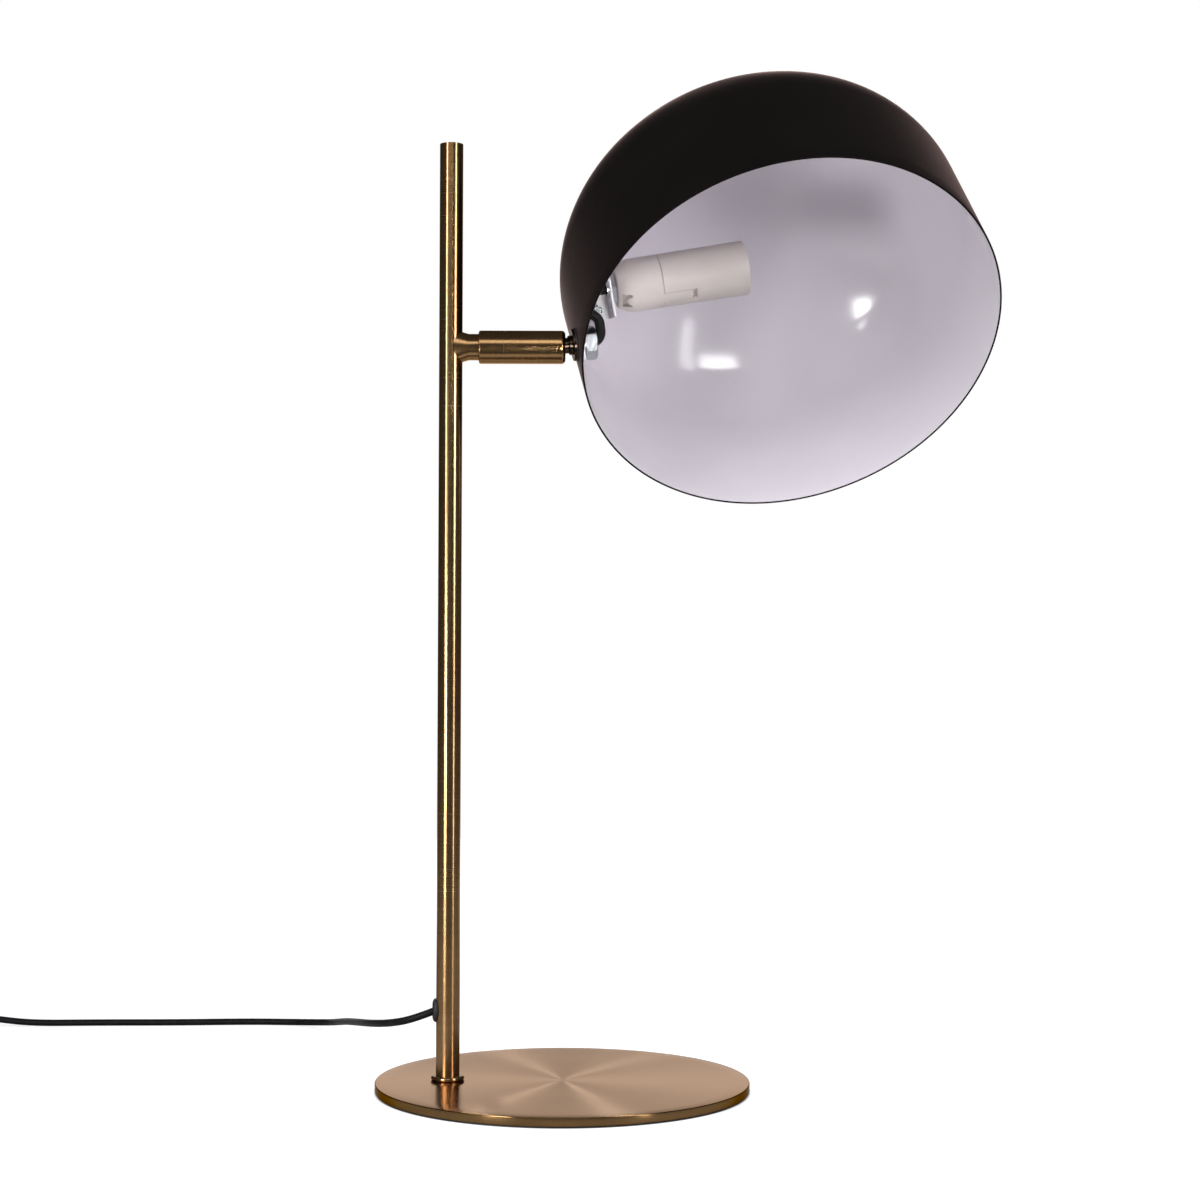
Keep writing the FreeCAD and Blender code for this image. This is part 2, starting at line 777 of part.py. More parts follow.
# The collar with the journal that the barrel turns on, its ring, washer and stop pin.
def build_collar():
    outer = "barrel_diameter / 2"
    spigot = "spigot_diameter / 2 + fit_gap"
    journal = "journal_diameter / 2"
    floor = journal + " - ring_groove_depth"
    body = turned("collar_blank", [
        ("collar_start", spigot),
        ("collar_start", outer + " - collar_edge"),
        ("collar_start + collar_edge", outer, "collar_start + collar_edge", outer + " - collar_edge"),
        ("collar_end", outer),
        ("collar_end", journal),
        ("ring_start - fit_gap", journal),
        ("ring_start - fit_gap", floor),
        ("ring_start + ring_thickness + fit_gap", floor),
        ("ring_start + ring_thickness + fit_gap", journal),
        ("journal_end", journal),
        ("journal_end", "wire_bore / 2"),
        ("collar_start + spigot_length + fit_gap", "wire_bore / 2"),
        ("collar_start + spigot_length + fit_gap", spigot),
    ])
    pin_place = ("collar_end - pin_seat", "0", "-pin_circle / 2")
    pin_hole = rod("collar_pin_hole", "pin_diameter / 2 + fit_gap", "pin_seat + overrun", pin_place, ALONG)
    keep(cut("swivel_collar", body, pin_hole), "swivel_collar", ARM)
    keep(rod("stop_pin", "pin_diameter / 2", "pin_seat + seam_gap + pin_reach", pin_place, ALONG),
         "stop_pin", ARM)
    keep(ring("friction_washer", "washer_start", "washer_start + washer_thickness",
              journal + " + fit_gap", "washer_diameter / 2"), "friction_washer", ARM)
    clip = ring("clip_blank", "ring_start", "ring_start + ring_thickness", floor + " + fit_gap",
                "ring_diameter / 2")
    slot = block("clip_slot", ("ring_start - overrun", "-ring_slot / 2", "0"),
                 ("ring_start + ring_thickness + overrun", "ring_slot / 2", "ring_diameter"))
    keep(cut("retaining_ring", clip, slot), "retaining_ring", ARM)


# The barrel and what it holds: bush, sleeve, disc springs and thrust cup.
def build_barrel():
    outer = "barrel_diameter / 2"
    keep(turned("swivel_barrel", [
        ("barrel_start", "ball_seat"),
        ("barrel_start", outer),
        ("mouth_depth - barrel_round", outer),
        ("mouth_depth", outer + " - barrel_round", "mouth_depth - barrel_round", outer + " - barrel_round"),
        ("mouth_depth", "mouth_radius"),
        ("lip_place", "lip_radius"),
        ("0", "ball_seat", "0", "0"),
    ]), "swivel_barrel", BARREL)

    bush = ring("barrel_bush", "barrel_start", "bush_end", "journal_diameter / 2 + run_gap",
                "ball_seat - fit_gap")
    track = "pin_circle / 2"
    half = "(pin_diameter / 2 + run_gap * 2)"
    sketch = closed_outline(new_sketch(bush, "stop_track_outline", "XZ_Plane"), [
        ("barrel_start", "-(" + track + " + " + half + ")"),
        ("barrel_start + pin_reach + overrun / 4", "-(" + track + " + " + half + ")"),
        ("barrel_start + pin_reach + overrun / 4", "-(" + track + " - " + half + ")"),
        ("barrel_start", "-(" + track + " - " + half + ")"),
    ])
    groove = bush.newObject("PartDesign::Groove", "stop_track")
    groove.Profile = sketch
    groove.ReferenceAxis = (sketch, ["H_Axis"])
    groove.Midplane = True
    pin_share = math.degrees(2 * math.asin(number(half) / number(track)))
    groove.Angle = size.turn_range + pin_share
    keep(bush, "barrel_bush", BARREL)

    keep(ring("spacer_sleeve", "bush_end", "spring_start", "ball_seat - fit_gap - sleeve_wall",
              "ball_seat - fit_gap"), "spacer_sleeve", BARREL)

    discs = []
    wide = "ball_seat - fit_gap * 4"
    for index in range(4):
        place = "spring_start + " + str(index) + " * spring_height"
        inward, outward = (place + " + spring_dish", place)
        if index % 2:
            inward, outward = outward, inward
        discs.append(turned("disc_spring" + str(index), [
            (inward, "spring_bore / 2"),
            (outward, wide),
            (outward + " + spring_thickness", wide),
            (inward + " + spring_thickness", "spring_bore / 2"),
        ]))
    keep(group("disc_springs", *discs), "disc_springs", BARREL)

    cup = turned("cup_blank", [
        ("cup_start", "cup_bore / 2"),
        ("cup_start", "ball_seat - fit_gap"),
        ("-cup_face", "ball_seat - fit_gap"),
        ("-cup_face", "sqrt(ball_seat ^ 2 - cup_face ^ 2)"),
        ("-sqrt(ball_seat ^ 2 - cup_bore ^ 2 / 4)", "cup_bore / 2", "0", "0"),
    ])
    upper = block("key_upper", ("cup_start", "-key_width / 2", "key_root"),
                  ("-cup_face - key_depth / 2", "key_width / 2", "key_top"))
    lower = block("key_lower", ("cup_start", "-key_width / 2", "-key_top"),
                  ("-cup_face - key_depth / 2", "key_width / 2", "-key_root"))
    keyed = joined("cup_keyed", cup, upper, lower)
    floor = ball("key_floor", "ball_radius - key_depth + run_gap * 2")
    keep(cut("thrust_cup", keyed, floor), "thrust_cup", BARREL)


# The hollow ball and stem, with the slot that the cup's keys run in.
def build_stem():
    radius = "stem_radius"
    body = turned("stem_blank", [
        ("-sqrt(ball_radius ^ 2 - ball_bore ^ 2 / 4)", "ball_bore / 2"),
        ("0", "ball_radius", "0", "0"),
        ("sqrt(ball_radius ^ 2 - throat_diameter ^ 2 / 4)", "throat_diameter / 2", "0", "0"),
        ("stem_start", "throat_diameter / 2"),
        ("stem_start", radius + " - stem_chamfer"),
        ("stem_start + stem_chamfer", radius),
        ("stem_end", radius),
        ("stem_end", "ball_bore / 2"),
    ])
    side = "key_width / 2 + run_gap * 2"
    slab = block("slot_slab", ("-ball_diameter", "-(" + side + ")", "-ball_diameter"),
                 ("-key_slot_end", side, "ball_diameter"))
    core = ball("slot_core", "ball_radius - key_depth")
    keep(cut("ball_stem", body, cut("slot_tool", slab, core)), "ball_stem", SHADE)

    edge = "flange_diameter / 2"
    start = "flange_start"
    keep(turned("shade_flange", [
        (start, "stem_radius + fit_gap"),
        (start, edge + " - flange_round"),
        (start + " + flange_round", edge, start + " + flange_round", edge + " - flange_round"),
        ("gasket_start", edge),
        ("gasket_start", "stem_radius + fit_gap"),
    ]), "shade_flange", SHADE)
    half = "gasket_thickness / 2"
    rim = "gasket_diameter / 2"
    keep(turned("flange_gasket", [
        ("gasket_start", "stem_radius + fit_gap"),
        ("gasket_start", rim + " - " + half),
        ("gasket_start + " + half, rim, "gasket_start + " + half, rim + " - " + half),
        ("shade_reach", rim + " - " + half, "gasket_start + " + half, rim + " - " + half),
        ("shade_reach", "stem_radius + fit_gap"),
    ]), "flange_gasket", SHADE)
    keep(ring("lock_washer", "wall_seat", "foot_start", "stem_radius + fit_gap",
              "lock_washer_diameter / 2"), "lock_washer", SHADE)
    keep(ring("spring_washer", "foot_end", "nut_start", "stem_radius + fit_gap",
              "spring_washer_diameter / 2"), "spring_washer", SHADE)
    keep(nut("stem_nut", "stem_nut_width", "stem_nut_thickness", "nut_start", "stem_diameter"),
         "stem_nut", BRACKET)


# The spun shade: a straight skirt, a shoulder arc and a crown arc, one wall thick.
def build_shade():
    centre = "shade_radius - shoulder_radius"
    shell = turned("shade_spun", [
        ("shade_radius", "0"),
        ("shade_radius", "skirt_height"),
        ("crown_radius * crown_share", "crown_centre + crown_radius * crown_lift_share", centre,
         "skirt_height"),
        ("0", "shade_depth", "0", "crown_centre"),
        ("0", "shade_depth - shade_wall"),
        ("(crown_radius - shade_wall) * crown_share",
         "crown_centre + (crown_radius - shade_wall) * crown_lift_share", "0", "crown_centre"),
        ("shade_radius - shade_wall", "skirt_height", centre, "skirt_height"),
        ("shade_radius - shade_wall", "0"),
    ], "V_Axis")
    hole = rod("shade_hole", "stem_radius + run_gap * 2", "4 * overrun",
               ("-shade_radius - 2 * overrun", "0", "stem_above_rim"), ALONG)
    keep(cut("shade_shell", shell, hole), "shade_shell", SHADE_AXIS)


# The pressed bracket: a web with an ear on the stem and a leaning ear for the lampholder.
def ear_outline(face, inside):
    """An ear and its piece of web, bent up from one sheet; the ear's outer face is at the given place
    and the web runs from it to the inside place."""
    back = "web_offset"
    front = "-ear_front"
    bend = "sheet_bend"
    toward = 1 if number(inside) > number(face) else -1
    step = " + " if toward > 0 else " - "
    corner = face + step + "sheet" + step + bend
    inner = "web_offset - sheet - sheet_bend"
    return [
        (face, front),
        (face + step + "sheet", front),
        (face + step + "sheet", inner),
        (corner, back + " - sheet", corner, inner),
        (inside, back + " - sheet"),
        (inside, back),
        (corner, back),
        (face, inner, corner, inner),
    ]


def build_bracket():
    foot = "foot_start"
    high = "holder_rise + head_rise"
    lower = pressed("bracket_foot", "XY_Plane", ear_outline(foot, "head_ear - 3 * sheet"),
                    "foot_drop + " + high)
    lower.Placement = Placement(Vector(0, 0, -size.foot_drop), Rotation())
    tie(lower, ".Placement.Base.z", "-foot_drop")
    upper = pressed("bracket_head", "XY_Plane", ear_outline("0", "-head_ear / 2"), "head_drop + head_rise")
    lean = Rotation(ACROSS, -size.holder_lean)
    drop = lean.multVec(Vector(0, 0, -size.head_drop))
    upper.Placement = Placement(Vector(size.head_ear, 0, size.holder_rise) + drop, lean)
    front = "-ear_front - overrun"
    over_foot = block("over_foot", (foot + " - overrun", front, "foot_rise"),
                      ("foot_end + sheet_bend", "web_offset - sheet - sheet_bend", high + " + overrun"))
    # The web's own outline: a bevel below the head ear and one beside the shade's wall.
    low = "-foot_drop"
    right = "head_ear + 2 * overrun"
    edge = "holder_rise - head_drop"
    notch = pressed("web_notch", "XZ_Plane", [
        (right, low + " - overrun"),
        (right, edge),
        ("head_ear + holder_lean / 4", edge),
        ("head_ear - web_bevel", edge + " - web_bevel"),
        ("nut_end - sheet", low),
        ("nut_end - sheet", low + " - overrun"),
    ], "4 * web_offset", True)
    bevel = pressed("web_bevel_tool", "XZ_Plane", [
        (foot + " - overrun", high + " - web_top_chamfer"),
        (foot, high + " - web_top_chamfer"),
        (foot + " + web_top_chamfer / 2", high + " + overrun"),
        (foot + " - overrun", high + " + overrun"),
    ], "4 * web_offset", True)
    stem_hole = rod("foot_hole", "stem_radius + run_gap * 2", "sheet + 2 * overrun",
                    (foot + " - overrun", "0", "0"), ALONG)
    nipple_hole = rod("head_hole", "nipple_diameter / 2 + fit_gap", "sheet + 2 * overrun")
    nipple_hole.Placement = Placement(Vector(size.head_ear, 0, size.holder_rise), lean) \
        * Placement(Vector(-size.sheet - size.overrun, 0, 0), Rotation(UP, ALONG))
    spare = rod("spare_hole", "web_hole_diameter / 2", "2 * web_offset",
                ("head_ear - web_hole_inset", "0", "holder_rise + web_hole_rise"), ACROSS)
    along = "head_ear - earth_inset"
    above = "holder_rise - earth_drop"
    earth = rod("earth_hole", "earth_diameter / 2 + fit_gap", "2 * web_offset", (along, "0", above), ACROSS)
    keep(cut("lamp_bracket", joined("bracket_whole", lower, upper), over_foot, notch, bevel, stem_hole,
             nipple_hole, spare, earth), "lamp_bracket", BRACKET)
    face = "web_offset - sheet"
    head = turned("earth_head", [
        ("0", "0"),
        ("earth_head_thickness", "0"),
        ("earth_head_thickness", "earth_head / 2"),
        ("0", "earth_head / 2"),
    ])
    slot = block("earth_slot", ("earth_head_thickness - earth_slot_depth", "-earth_slot_width / 2",
                                "-earth_head"),
                 ("earth_head_thickness + overrun", "earth_slot_width / 2", "earth_head"))
    slotted = cut("earth_head_slotted", head, slot)
    slotted.Placement = Placement(Vector(number(along), number(face), number(above)),
                                  Rotation(ALONG, -ACROSS) * Rotation(ALONG, size.earth_turn))
    shank = rod("earth_shank", "earth_diameter / 2", "earth_length", (along, face, above), ACROSS)
    keep(joined("earth_screw_whole", slotted, shank), "earth_screw", BRACKET)


# The lampholder: nipple, nuts, dome with snap tabs, skirt, contact carrier and contacts.
def build_holder():
    keep(ring("holder_nipple", "-sheet - nipple_behind", "dome_start + nipple_ahead",
              "nipple_bore / 2", "nipple_diameter / 2"), "holder_nipple", HOLDER)
    # One corner of this nut faces the front, a twelfth of a turn from the stem nut's.
    corner = EAR * Placement(Vector(), Rotation(ALONG, size.holder_nut_turn))
    keep(nut("holder_nut", "holder_nut_width", "holder_nut_thickness", "0", "nipple_diameter"),
         "holder_nut", corner)

    outer = "holder_diameter / 2"
    rim = "holder_rim_diameter / 2"
    inner = outer + " - holder_wall"
    back = "holder_back_diameter / 2"
    bend = "dome_end - dome_straight"
    dome = turned("dome_blank", [
        ("dome_start", "nipple_diameter / 2 + fit_gap"),
        ("dome_start", back),
        ("dome_start + dome_curve", outer, "dome_start + dome_curve", outer + " - dome_arc"),
        ("dome_end", outer),
        ("dome_end", inner + " - fit_gap"),
        ("dome_end + dome_collar", inner + " - fit_gap"),
        ("dome_end + dome_collar", inner + " - holder_wall / 2"),
        (bend, inner + " - holder_wall / 2"),
        ("dome_start + nipple_ahead + holder_wall", "nipple_diameter / 2 + holder_wall"),
        ("dome_start + nipple_ahead + holder_wall", "nipple_diameter / 2 + fit_gap"),
    ])
    recess = block("dome_recess", ("dome_start + recess_start", "-recess_width / 2", "-holder_diameter"),
                   ("dome_start + recess_start + recess_length", "recess_width / 2", "-recess_floor"))
    stud = rod("dome_recess_stud", "recess_stud", "2 * holder_diameter",
               ("dome_start + recess_start + recess_length", "0", "-2 * holder_diameter"))
    recess = cut("dome_recess_shaped", recess, stud)
    snaps = []
    slots = []
    for name, first, last in (("near", "-" + rim, "-" + inner + " + holder_wall"),
                              ("far", inner + " - holder_wall", rim)):
        low = first if name == "far" else first + " - overrun"
        high = last if name == "near" else last + " + overrun"
        snaps.append(block("snap_" + name, ("dome_end - overrun", "-snap_width / 2", low),
                           ("dome_end + snap_length", "snap_width / 2", high)))
        slots.append(block("slot_" + name, ("dome_end - overrun", "-snap_width / 2 - snap_play", low),
                           ("dome_end + snap_length + snap_window", "snap_width / 2 + snap_play", high)))
    tabs = common("snap_tabs", ring("snap_shell", "dome_end", "dome_end + snap_length",
                                    inner + " - holder_wall / 4", outer), joined("snap_blocks", *snaps))
    keep(cut("holder_dome", joined("dome_whole", dome, tabs), recess), "holder_dome", HOLDER)

    skirt = turned("skirt_blank", [
        ("dome_end + fit_gap", inner),
        ("dome_end + fit_gap", outer),
        ("holder_rim", rim),
        ("holder_rim", rim + " - holder_wall"),
    ])
    keep(cut("holder_skirt", skirt, *slots), "holder_skirt", HOLDER)

    socket = "socket_diameter / 2"
    well = "contact_well / 2"
    carrier = turned("carrier_blank", [
        ("carrier_start", "0"),
        ("carrier_start", inner + " - holder_wall"),
        ("socket_mouth", inner + " - holder_wall"),
        ("socket_mouth", socket),
        ("socket_floor", socket),
        ("socket_floor", well),
        ("socket_floor - contact_well_depth", well),
        ("socket_floor - contact_well_depth", "0"),
    ])
    strip_low = "socket_floor + contact_sheet"
    side_room = block("side_contact_room", (strip_low + " - fit_gap", "-contact_width / 2 - fit_gap", well),
                      (strip_low + " + side_contact_length + fit_gap", "contact_width / 2 + fit_gap",
                       socket + " + contact_sheet + fit_gap"))
    places = [("terminal_pitch / 2", "near"), ("-terminal_pitch / 2", "far")]
    wells = []
    screws = []
    for place, name in places:
        wells.append(rod("terminal_hole_" + name, "terminal_diameter / 2 + fit_gap",
                         "terminal_length + overrun",
                         ("carrier_start - overrun", place, "0"), ALONG))
        screws.append(joined("terminal_screw_" + name,
            rod("terminal_shank_" + name, "terminal_diameter / 2", "terminal_length",
                ("carrier_start", place, "0"), ALONG),
            rod("terminal_head_" + name, "terminal_head / 2", "terminal_head_thickness",
                ("carrier_start", place, "0"), -ALONG)))
    keep(cut("contact_carrier", carrier, side_room, *wells), "contact_carrier", HOLDER)
    keep(group("terminal_screws", *screws), "terminal_screws", HOLDER)
    keep(block("side_contact", (strip_low, "-contact_width / 2", socket + " + fit_gap"),
               (strip_low + " + side_contact_length", "contact_width / 2", socket + " + contact_sheet")),
         "side_contact", HOLDER)
    floor = "socket_floor - contact_well_depth"
    side = well + " - contact_sheet"
    keep(pressed("centre_contact", "XZ_Plane", [
        (floor, "-(" + side + ") * contact_foot_share"),
        (floor, "(" + side + ") * contact_foot_share"),
        ("socket_floor - contact_sheet", "0"),
        ("socket_floor - contact_drop", "0"),
        (floor + " + contact_sheet", "(" + side + ") * contact_tip_share"),
        (floor + " + contact_sheet", "-(" + side + ") * contact_foot_share"),
    ], "contact_width", True), "centre_contact", HOLDER)


# The leads inside the post, the barrel and the stem, and the sleeved loop to the lampholder.
def build_inner_leads():
    mouth = droop_point(size.grommet_thickness)
    slope = math.tan(math.radians(size.cord_droop))
    corner = Vector(size.rise_shift, 0, size.cord_height + (size.rise_shift + size.post_radius) * slope)
    post_route = [
        mouth,
        corner,
        Vector(size.rise_shift, 0, size.arm_height),
        Vector(size.ball_reach + size.journal_end, 0, size.arm_height),
    ]
    radii = [size.rise_radius, size.neck_turn_radius]
    wire = straight_and_arcs(post_route, radii)
    keep(solid_of("post_lead", tube_on(wire, size.cord_radius)), "post_lead", POST)

    keep(rod("barrel_lead", "cord_radius", "-ball_radius + run_gap - journal_end",
             ("journal_end", "0", "0"), ALONG), "barrel_lead", BARREL)
    keep(rod("stem_lead", "cord_radius", "stem_end - stem_lead_start", ("stem_lead_start", "0", "0"),
             ALONG),
         "stem_lead", SHADE)

    # The loop rises towards the head ear, runs back beside the wall and turns into the nipple.
    turn = size.stem_end + size.loop_reach
    into = BRACKET.inverse() * EAR
    behind = (size.loop_back - size.head_ear) / math.cos(math.radians(size.holder_lean))
    loop_route = [
        Vector(size.stem_end, 0, 0),
        Vector(turn, 0, 0),
        Vector(turn, 0, size.loop_rise),
        Vector(size.loop_back, 0, size.loop_back_rise),
        into.multVec(Vector(behind, 0, 0)),
        into.multVec(Vector(size.dome_start, 0, 0)),
    ]
    radii = [size.loop_radius, size.loop_radius, size.loop_back_radius, size.nipple_turn_radius]
    wire = straight_and_arcs(loop_route, radii)
    keep(solid_of("lamp_lead", tube_on(wire, size.sleeve_diameter / 2)), "lamp_lead", BRACKET)


# The free cord. Its route is chosen by hand: it droops from the grommet, falls away behind the
# lamp to the table and runs off to the left, where the switch, the coil and the plug lie.
LEAD_ROUTE = [
    (-76.3, 0.0, 35.55),
    (-87.6, 6.0, 32.6),
    (-98.6, 22.0, 29.8),
    (-110.2, 55.0, 25.2),
    (-120.6, 100.0, 18.4),
    (-130.0, 145.0, 10.9),
    (-139.5, 180.0, 4.9),
    (-160.0, 199.0, 1.95),
    (-190.0, 201.0, 1.95),
    (-232.0, 197.0, 1.95),
    (-280.0, 196.0, 1.95),
    (-318.0, 193.0, 1.95),
    (-338.0, 191.3, 4.5),
    (-355.0, 190.5, 6.5),
]
SWITCH_PLACE = Vector(-378.0, 190.5, 0)
LINK_ROUTE = [
    (-462.0, 190.5, 6.5),
    (-479.0, 190.8, 1.95),
]
COIL_PLACE = Vector(-494.0, 160.2, 0)
TAIL_ROUTE = [
    (-525.675, 152.0, 6.25),
    (-524.0, 141.0, 6.8),
]
PLUG_PLACE = Vector(-524.0, 131.0, 0)


def spiral_point(turns):
    """A place on the coil: half its turns spiral in on the surface, half spiral out a layer up."""
    half = size.coil_turns / 2
    outer = size.coil_middle / 2 + size.coil_pitch * half / 2
    inward = min(turns, half) - max(turns - half, 0)
    climb = min(max((turns - half + size.coil_climb_turns / 2) / size.coil_climb_turns, 0), 1)
    angle = math.pi / 2 + 2 * math.pi * turns
    radius = outer - size.coil_pitch * inward
    height = size.cord_radius + size.run_gap + size.coil_layer * climb
    return COIL_PLACE + Vector(radius * math.cos(angle), radius * math.sin(angle), height)


def spiral_heading(turns):
    """The direction of the coil at a place, level at the two ends."""
    step = 0.001
    ahead = spiral_point(turns + step) - spiral_point(turns - step)
    if turns <= 0:
        ahead = Vector(-1, 0, 0)
    if turns >= size.coil_turns + size.coil_rest_turns:
        ahead = Vector(0, -1, 0)
    return ahead.normalize()


def biarc(start, start_way, end, end_way):
    """Two tangent arcs from one place and heading to the next."""
    chord = end - start
    both = start_way + end_way
    a = both.dot(both) - 4
    b = -2 * chord.dot(both)
    c = chord.dot(chord)
    reach = c / (2 * chord.dot(end_way)) if abs(a) < 1e-9 else (-b - math.sqrt(b * b - 4 * a * c)) / (2 * a)
    if reach < 0:
        reach = (-b + math.sqrt(b * b - 4 * a * c)) / (2 * a)
    first = start + start_way * reach
    second = end - end_way * reach
    joint = (first + second) * 0.5
    return [arc_from(start, start_way, joint), arc_from(joint, (second - first).normalize(), end)]


def arc_from(start, way, end):
    """The arc that leaves a place along a heading and reaches another."""
    chord = end - start
    side = chord - way * chord.dot(way)
    if side.Length < 1e-6:
        return Part.LineSegment(start, end).toShape()
    side.normalize()
    radius = chord.dot(chord) / (2 * chord.dot(side))
    centre = start + side * radius
    bisector = (start + end) * 0.5 - centre
    middle = centre + bisector.normalize() * radius
    return Part.Arc(start, middle, end).toShape()


def coil_wire():
    edges = []
    quarters = round((size.coil_turns + size.coil_rest_turns) * 4)
    for index in range(quarters):
        here = index / 4
        there = (index + 1) / 4
        edges += biarc(spiral_point(here), spiral_heading(here), spiral_point(there), spiral_heading(there))
    return Part.Wire(edges)


def least_gap(wire):
    """The least gap of a wound tube to itself, between places at least half a turn apart."""
    step = size.cord_radius
    count = int(wire.Length / step)
    places = wire.discretize(Number=count)
    apart = int(math.pi * size.coil_middle / 2 / step / 2)
    nearest = min((places[a] - places[b]).Length
                  for a in range(len(places)) for b in range(a + apart, len(places)))
    return nearest - size.cord_diameter


def build_cord():
    lead = [POST.multVec(droop_point(size.grommet_thickness))] + [Vector(*place) for place in LEAD_ROUTE]
    lead.append(SWITCH_PLACE + Vector(0, 0, size.switch_axis))
    radii = largest_radii(lead)
    print("lead radii", [round(radius, 1) for radius in radii])
    radii[-1] = min(radii[-1], size.relief_bend)
    lead_wire = straight_and_arcs(lead, radii)
    keep(solid_of("lead_run", tube_on(lead_wire, size.cord_radius)), "lead_run")

    left = SWITCH_PLACE + Vector(-size.switch_length, 0, size.switch_axis)
    link = [left] + [Vector(*place) for place in LINK_ROUTE] + [spiral_point(0)]
    radii = largest_radii(link)
    print("link radii", [round(radius, 1) for radius in radii])
    radii[0] = min(radii[0], size.relief_bend)
    link_wire = straight_and_arcs(link, radii)
    keep(solid_of("lead_link", tube_on(link_wire, size.cord_radius)), "lead_link")

    wire = coil_wire()
    print("coil length %.0f, least gap %.2f" % (wire.Length, least_gap(wire)))
    keep(solid_of("lead_coil", tube_on(wire, size.cord_radius)), "lead_coil")

    tail = [spiral_point(size.coil_turns + size.coil_rest_turns)] + [Vector(*place) for place in TAIL_ROUTE]
    tail.append(PLUG_PLACE + Vector(0, 0, size.plug_height / 2))
    radii = largest_radii(tail)
    print("tail radii", [round(radius, 1) for radius in radii])
    tail_wire = straight_and_arcs(tail, radii)
    keep(solid_of("lead_tail", tube_on(tail_wire, size.cord_radius)), "lead_tail")
    total = lead_wire.Length + link_wire.Length + wire.Length + tail_wire.Length
    print("cord length outside the post %.0f" % total)


# The in-line switch: two shells, a rocker and two screws. It lies along X, its right end at its place.
SWITCH = Placement(SWITCH_PLACE, Rotation())


def switch_outline():
    half = "switch_width / 2"
    end = "switch_end_width / 2"
    taper = "(" + half + " - " + end + ")"
    return [
        ("0", "-" + end),
        ("0", end),
        ("-" + taper, half),
        ("-switch_length + " + taper, half),
        ("-switch_length", end),
        ("-switch_length", "-" + end),
        ("-switch_length + " + taper, "-" + half),
        ("-" + taper, "-" + half),
    ]


def build_switch():
    middle = "-switch_length / 2"
    room_x = "rocker_length / 2 + rocker_play"
    room_y = "rocker_width / 2 + rocker_play"
    screw_places = [middle + " - switch_screw_spread / 2", middle + " + switch_screw_spread / 2"]

    lower = pressed("switch_lower_blank", "XY_Plane", switch_outline(), "switch_split")
    well = block("switch_lower_well",
                 (middle + " - (" + room_x + ")", "-(" + room_y + ")", "switch_shell"),
                 (middle + " + " + room_x, room_y, "switch_split + overrun"))
    holes = [rod("switch_lower_hole" + str(index), "switch_screw_diameter / 2 + run_gap",
                 "switch_split + 2 * overrun", (place, "0", "-overrun"))
             for index, place in enumerate(screw_places)]
    sinks = [rod("switch_lower_sink" + str(index), "switch_screw_head / 2 + run_gap",
                 "switch_shell + overrun",
                 (place, "0", "-overrun"))
             for index, place in enumerate(screw_places)]
    keep(cut("switch_lower", lower, well, *holes, *sinks), "switch_lower", SWITCH)

    upper = new_body("switch_upper_body")
    sketch = closed_outline(new_sketch(upper, "switch_upper_outline", "XY_Plane"), switch_outline())
    pad = upper.newObject("PartDesign::Pad", "switch_upper_pad")
    pad.Profile = sketch
    tie(pad, "Length", "switch_height - switch_split")
    doc.recompute()
    top = [name for name, face in zip(edge_names(pad), pad.Shape.Edges)
           if abs(face.BoundBox.ZMin - number("switch_height - switch_split")) < size.fit_gap
           and face.BoundBox.ZLength < size.fit_gap]
    rounding = upper.newObject("PartDesign::Fillet", "switch_upper_round")
    rounding.Base = (pad, top)
    tie(rounding, "Radius", "switch_round")
    upper.Placement = Placement(Vector(0, 0, size.switch_split), Rotation())
    tie(upper, ".Placement.Base.z", "switch_split")
    window = block("switch_window", (middle + " - (" + room_x + ")", "-(" + room_y + ")",
                                     "switch_split - overrun"),
                   (middle + " + " + room_x, room_y, "switch_height + overrun"))
    bores = [rod("switch_upper_hole" + str(index), "switch_screw_diameter / 2 + fit_gap",
                 "switch_screw_length - switch_split + switch_shell + fit_gap",
                 (place, "0", "switch_split"))
             for index, place in enumerate(screw_places)]
    keep(cut("switch_upper", upper, window, *bores), "switch_upper", SWITCH)

    screws = [joined("switch_screw" + str(index),
                     rod("switch_head" + str(index), "switch_screw_head / 2", "switch_shell / 2",
                         (place, "0", "switch_shell / 2")),
                     rod("switch_shank" + str(index), "switch_screw_diameter / 2", "switch_screw_length",
                         (place, "0", "switch_shell")))
              for index, place in enumerate(screw_places)]
    keep(group("switch_screws", *screws), "switch_screws", SWITCH)

    # The rocker's top is a shallow V, drawn about its pivot and pressed down at one end.
    length = "rocker_length / 2"
    hub = "rocker_width / 4"
    face = "rocker_top - rocker_pivot"
    lift = "rocker_length / 2 * rocker_slope"
    rocker = pressed("switch_rocker", "XZ_Plane", [
        ("-" + length + " + rocker_taper", face),
        ("-" + length, "-" + hub + " / 2"),
        ("-" + hub, "-" + hub),
        (hub, "-" + hub),
        (length, "-" + hub + " / 2"),
        (length + " - rocker_taper", face),
        ("0", face + " - " + lift),
    ], "rocker_width", True)
    pivot = Placement(Vector(-size.switch_length / 2, 0, size.rocker_pivot), Rotation(ACROSS,
                                                                                      size.rocker_swing / 2))
    keep(rocker, "switch_rocker", SWITCH * pivot)


def edge_names(feature):
    return ["Edge" + str(index + 1) for index in range(len(feature.Shape.Edges))]


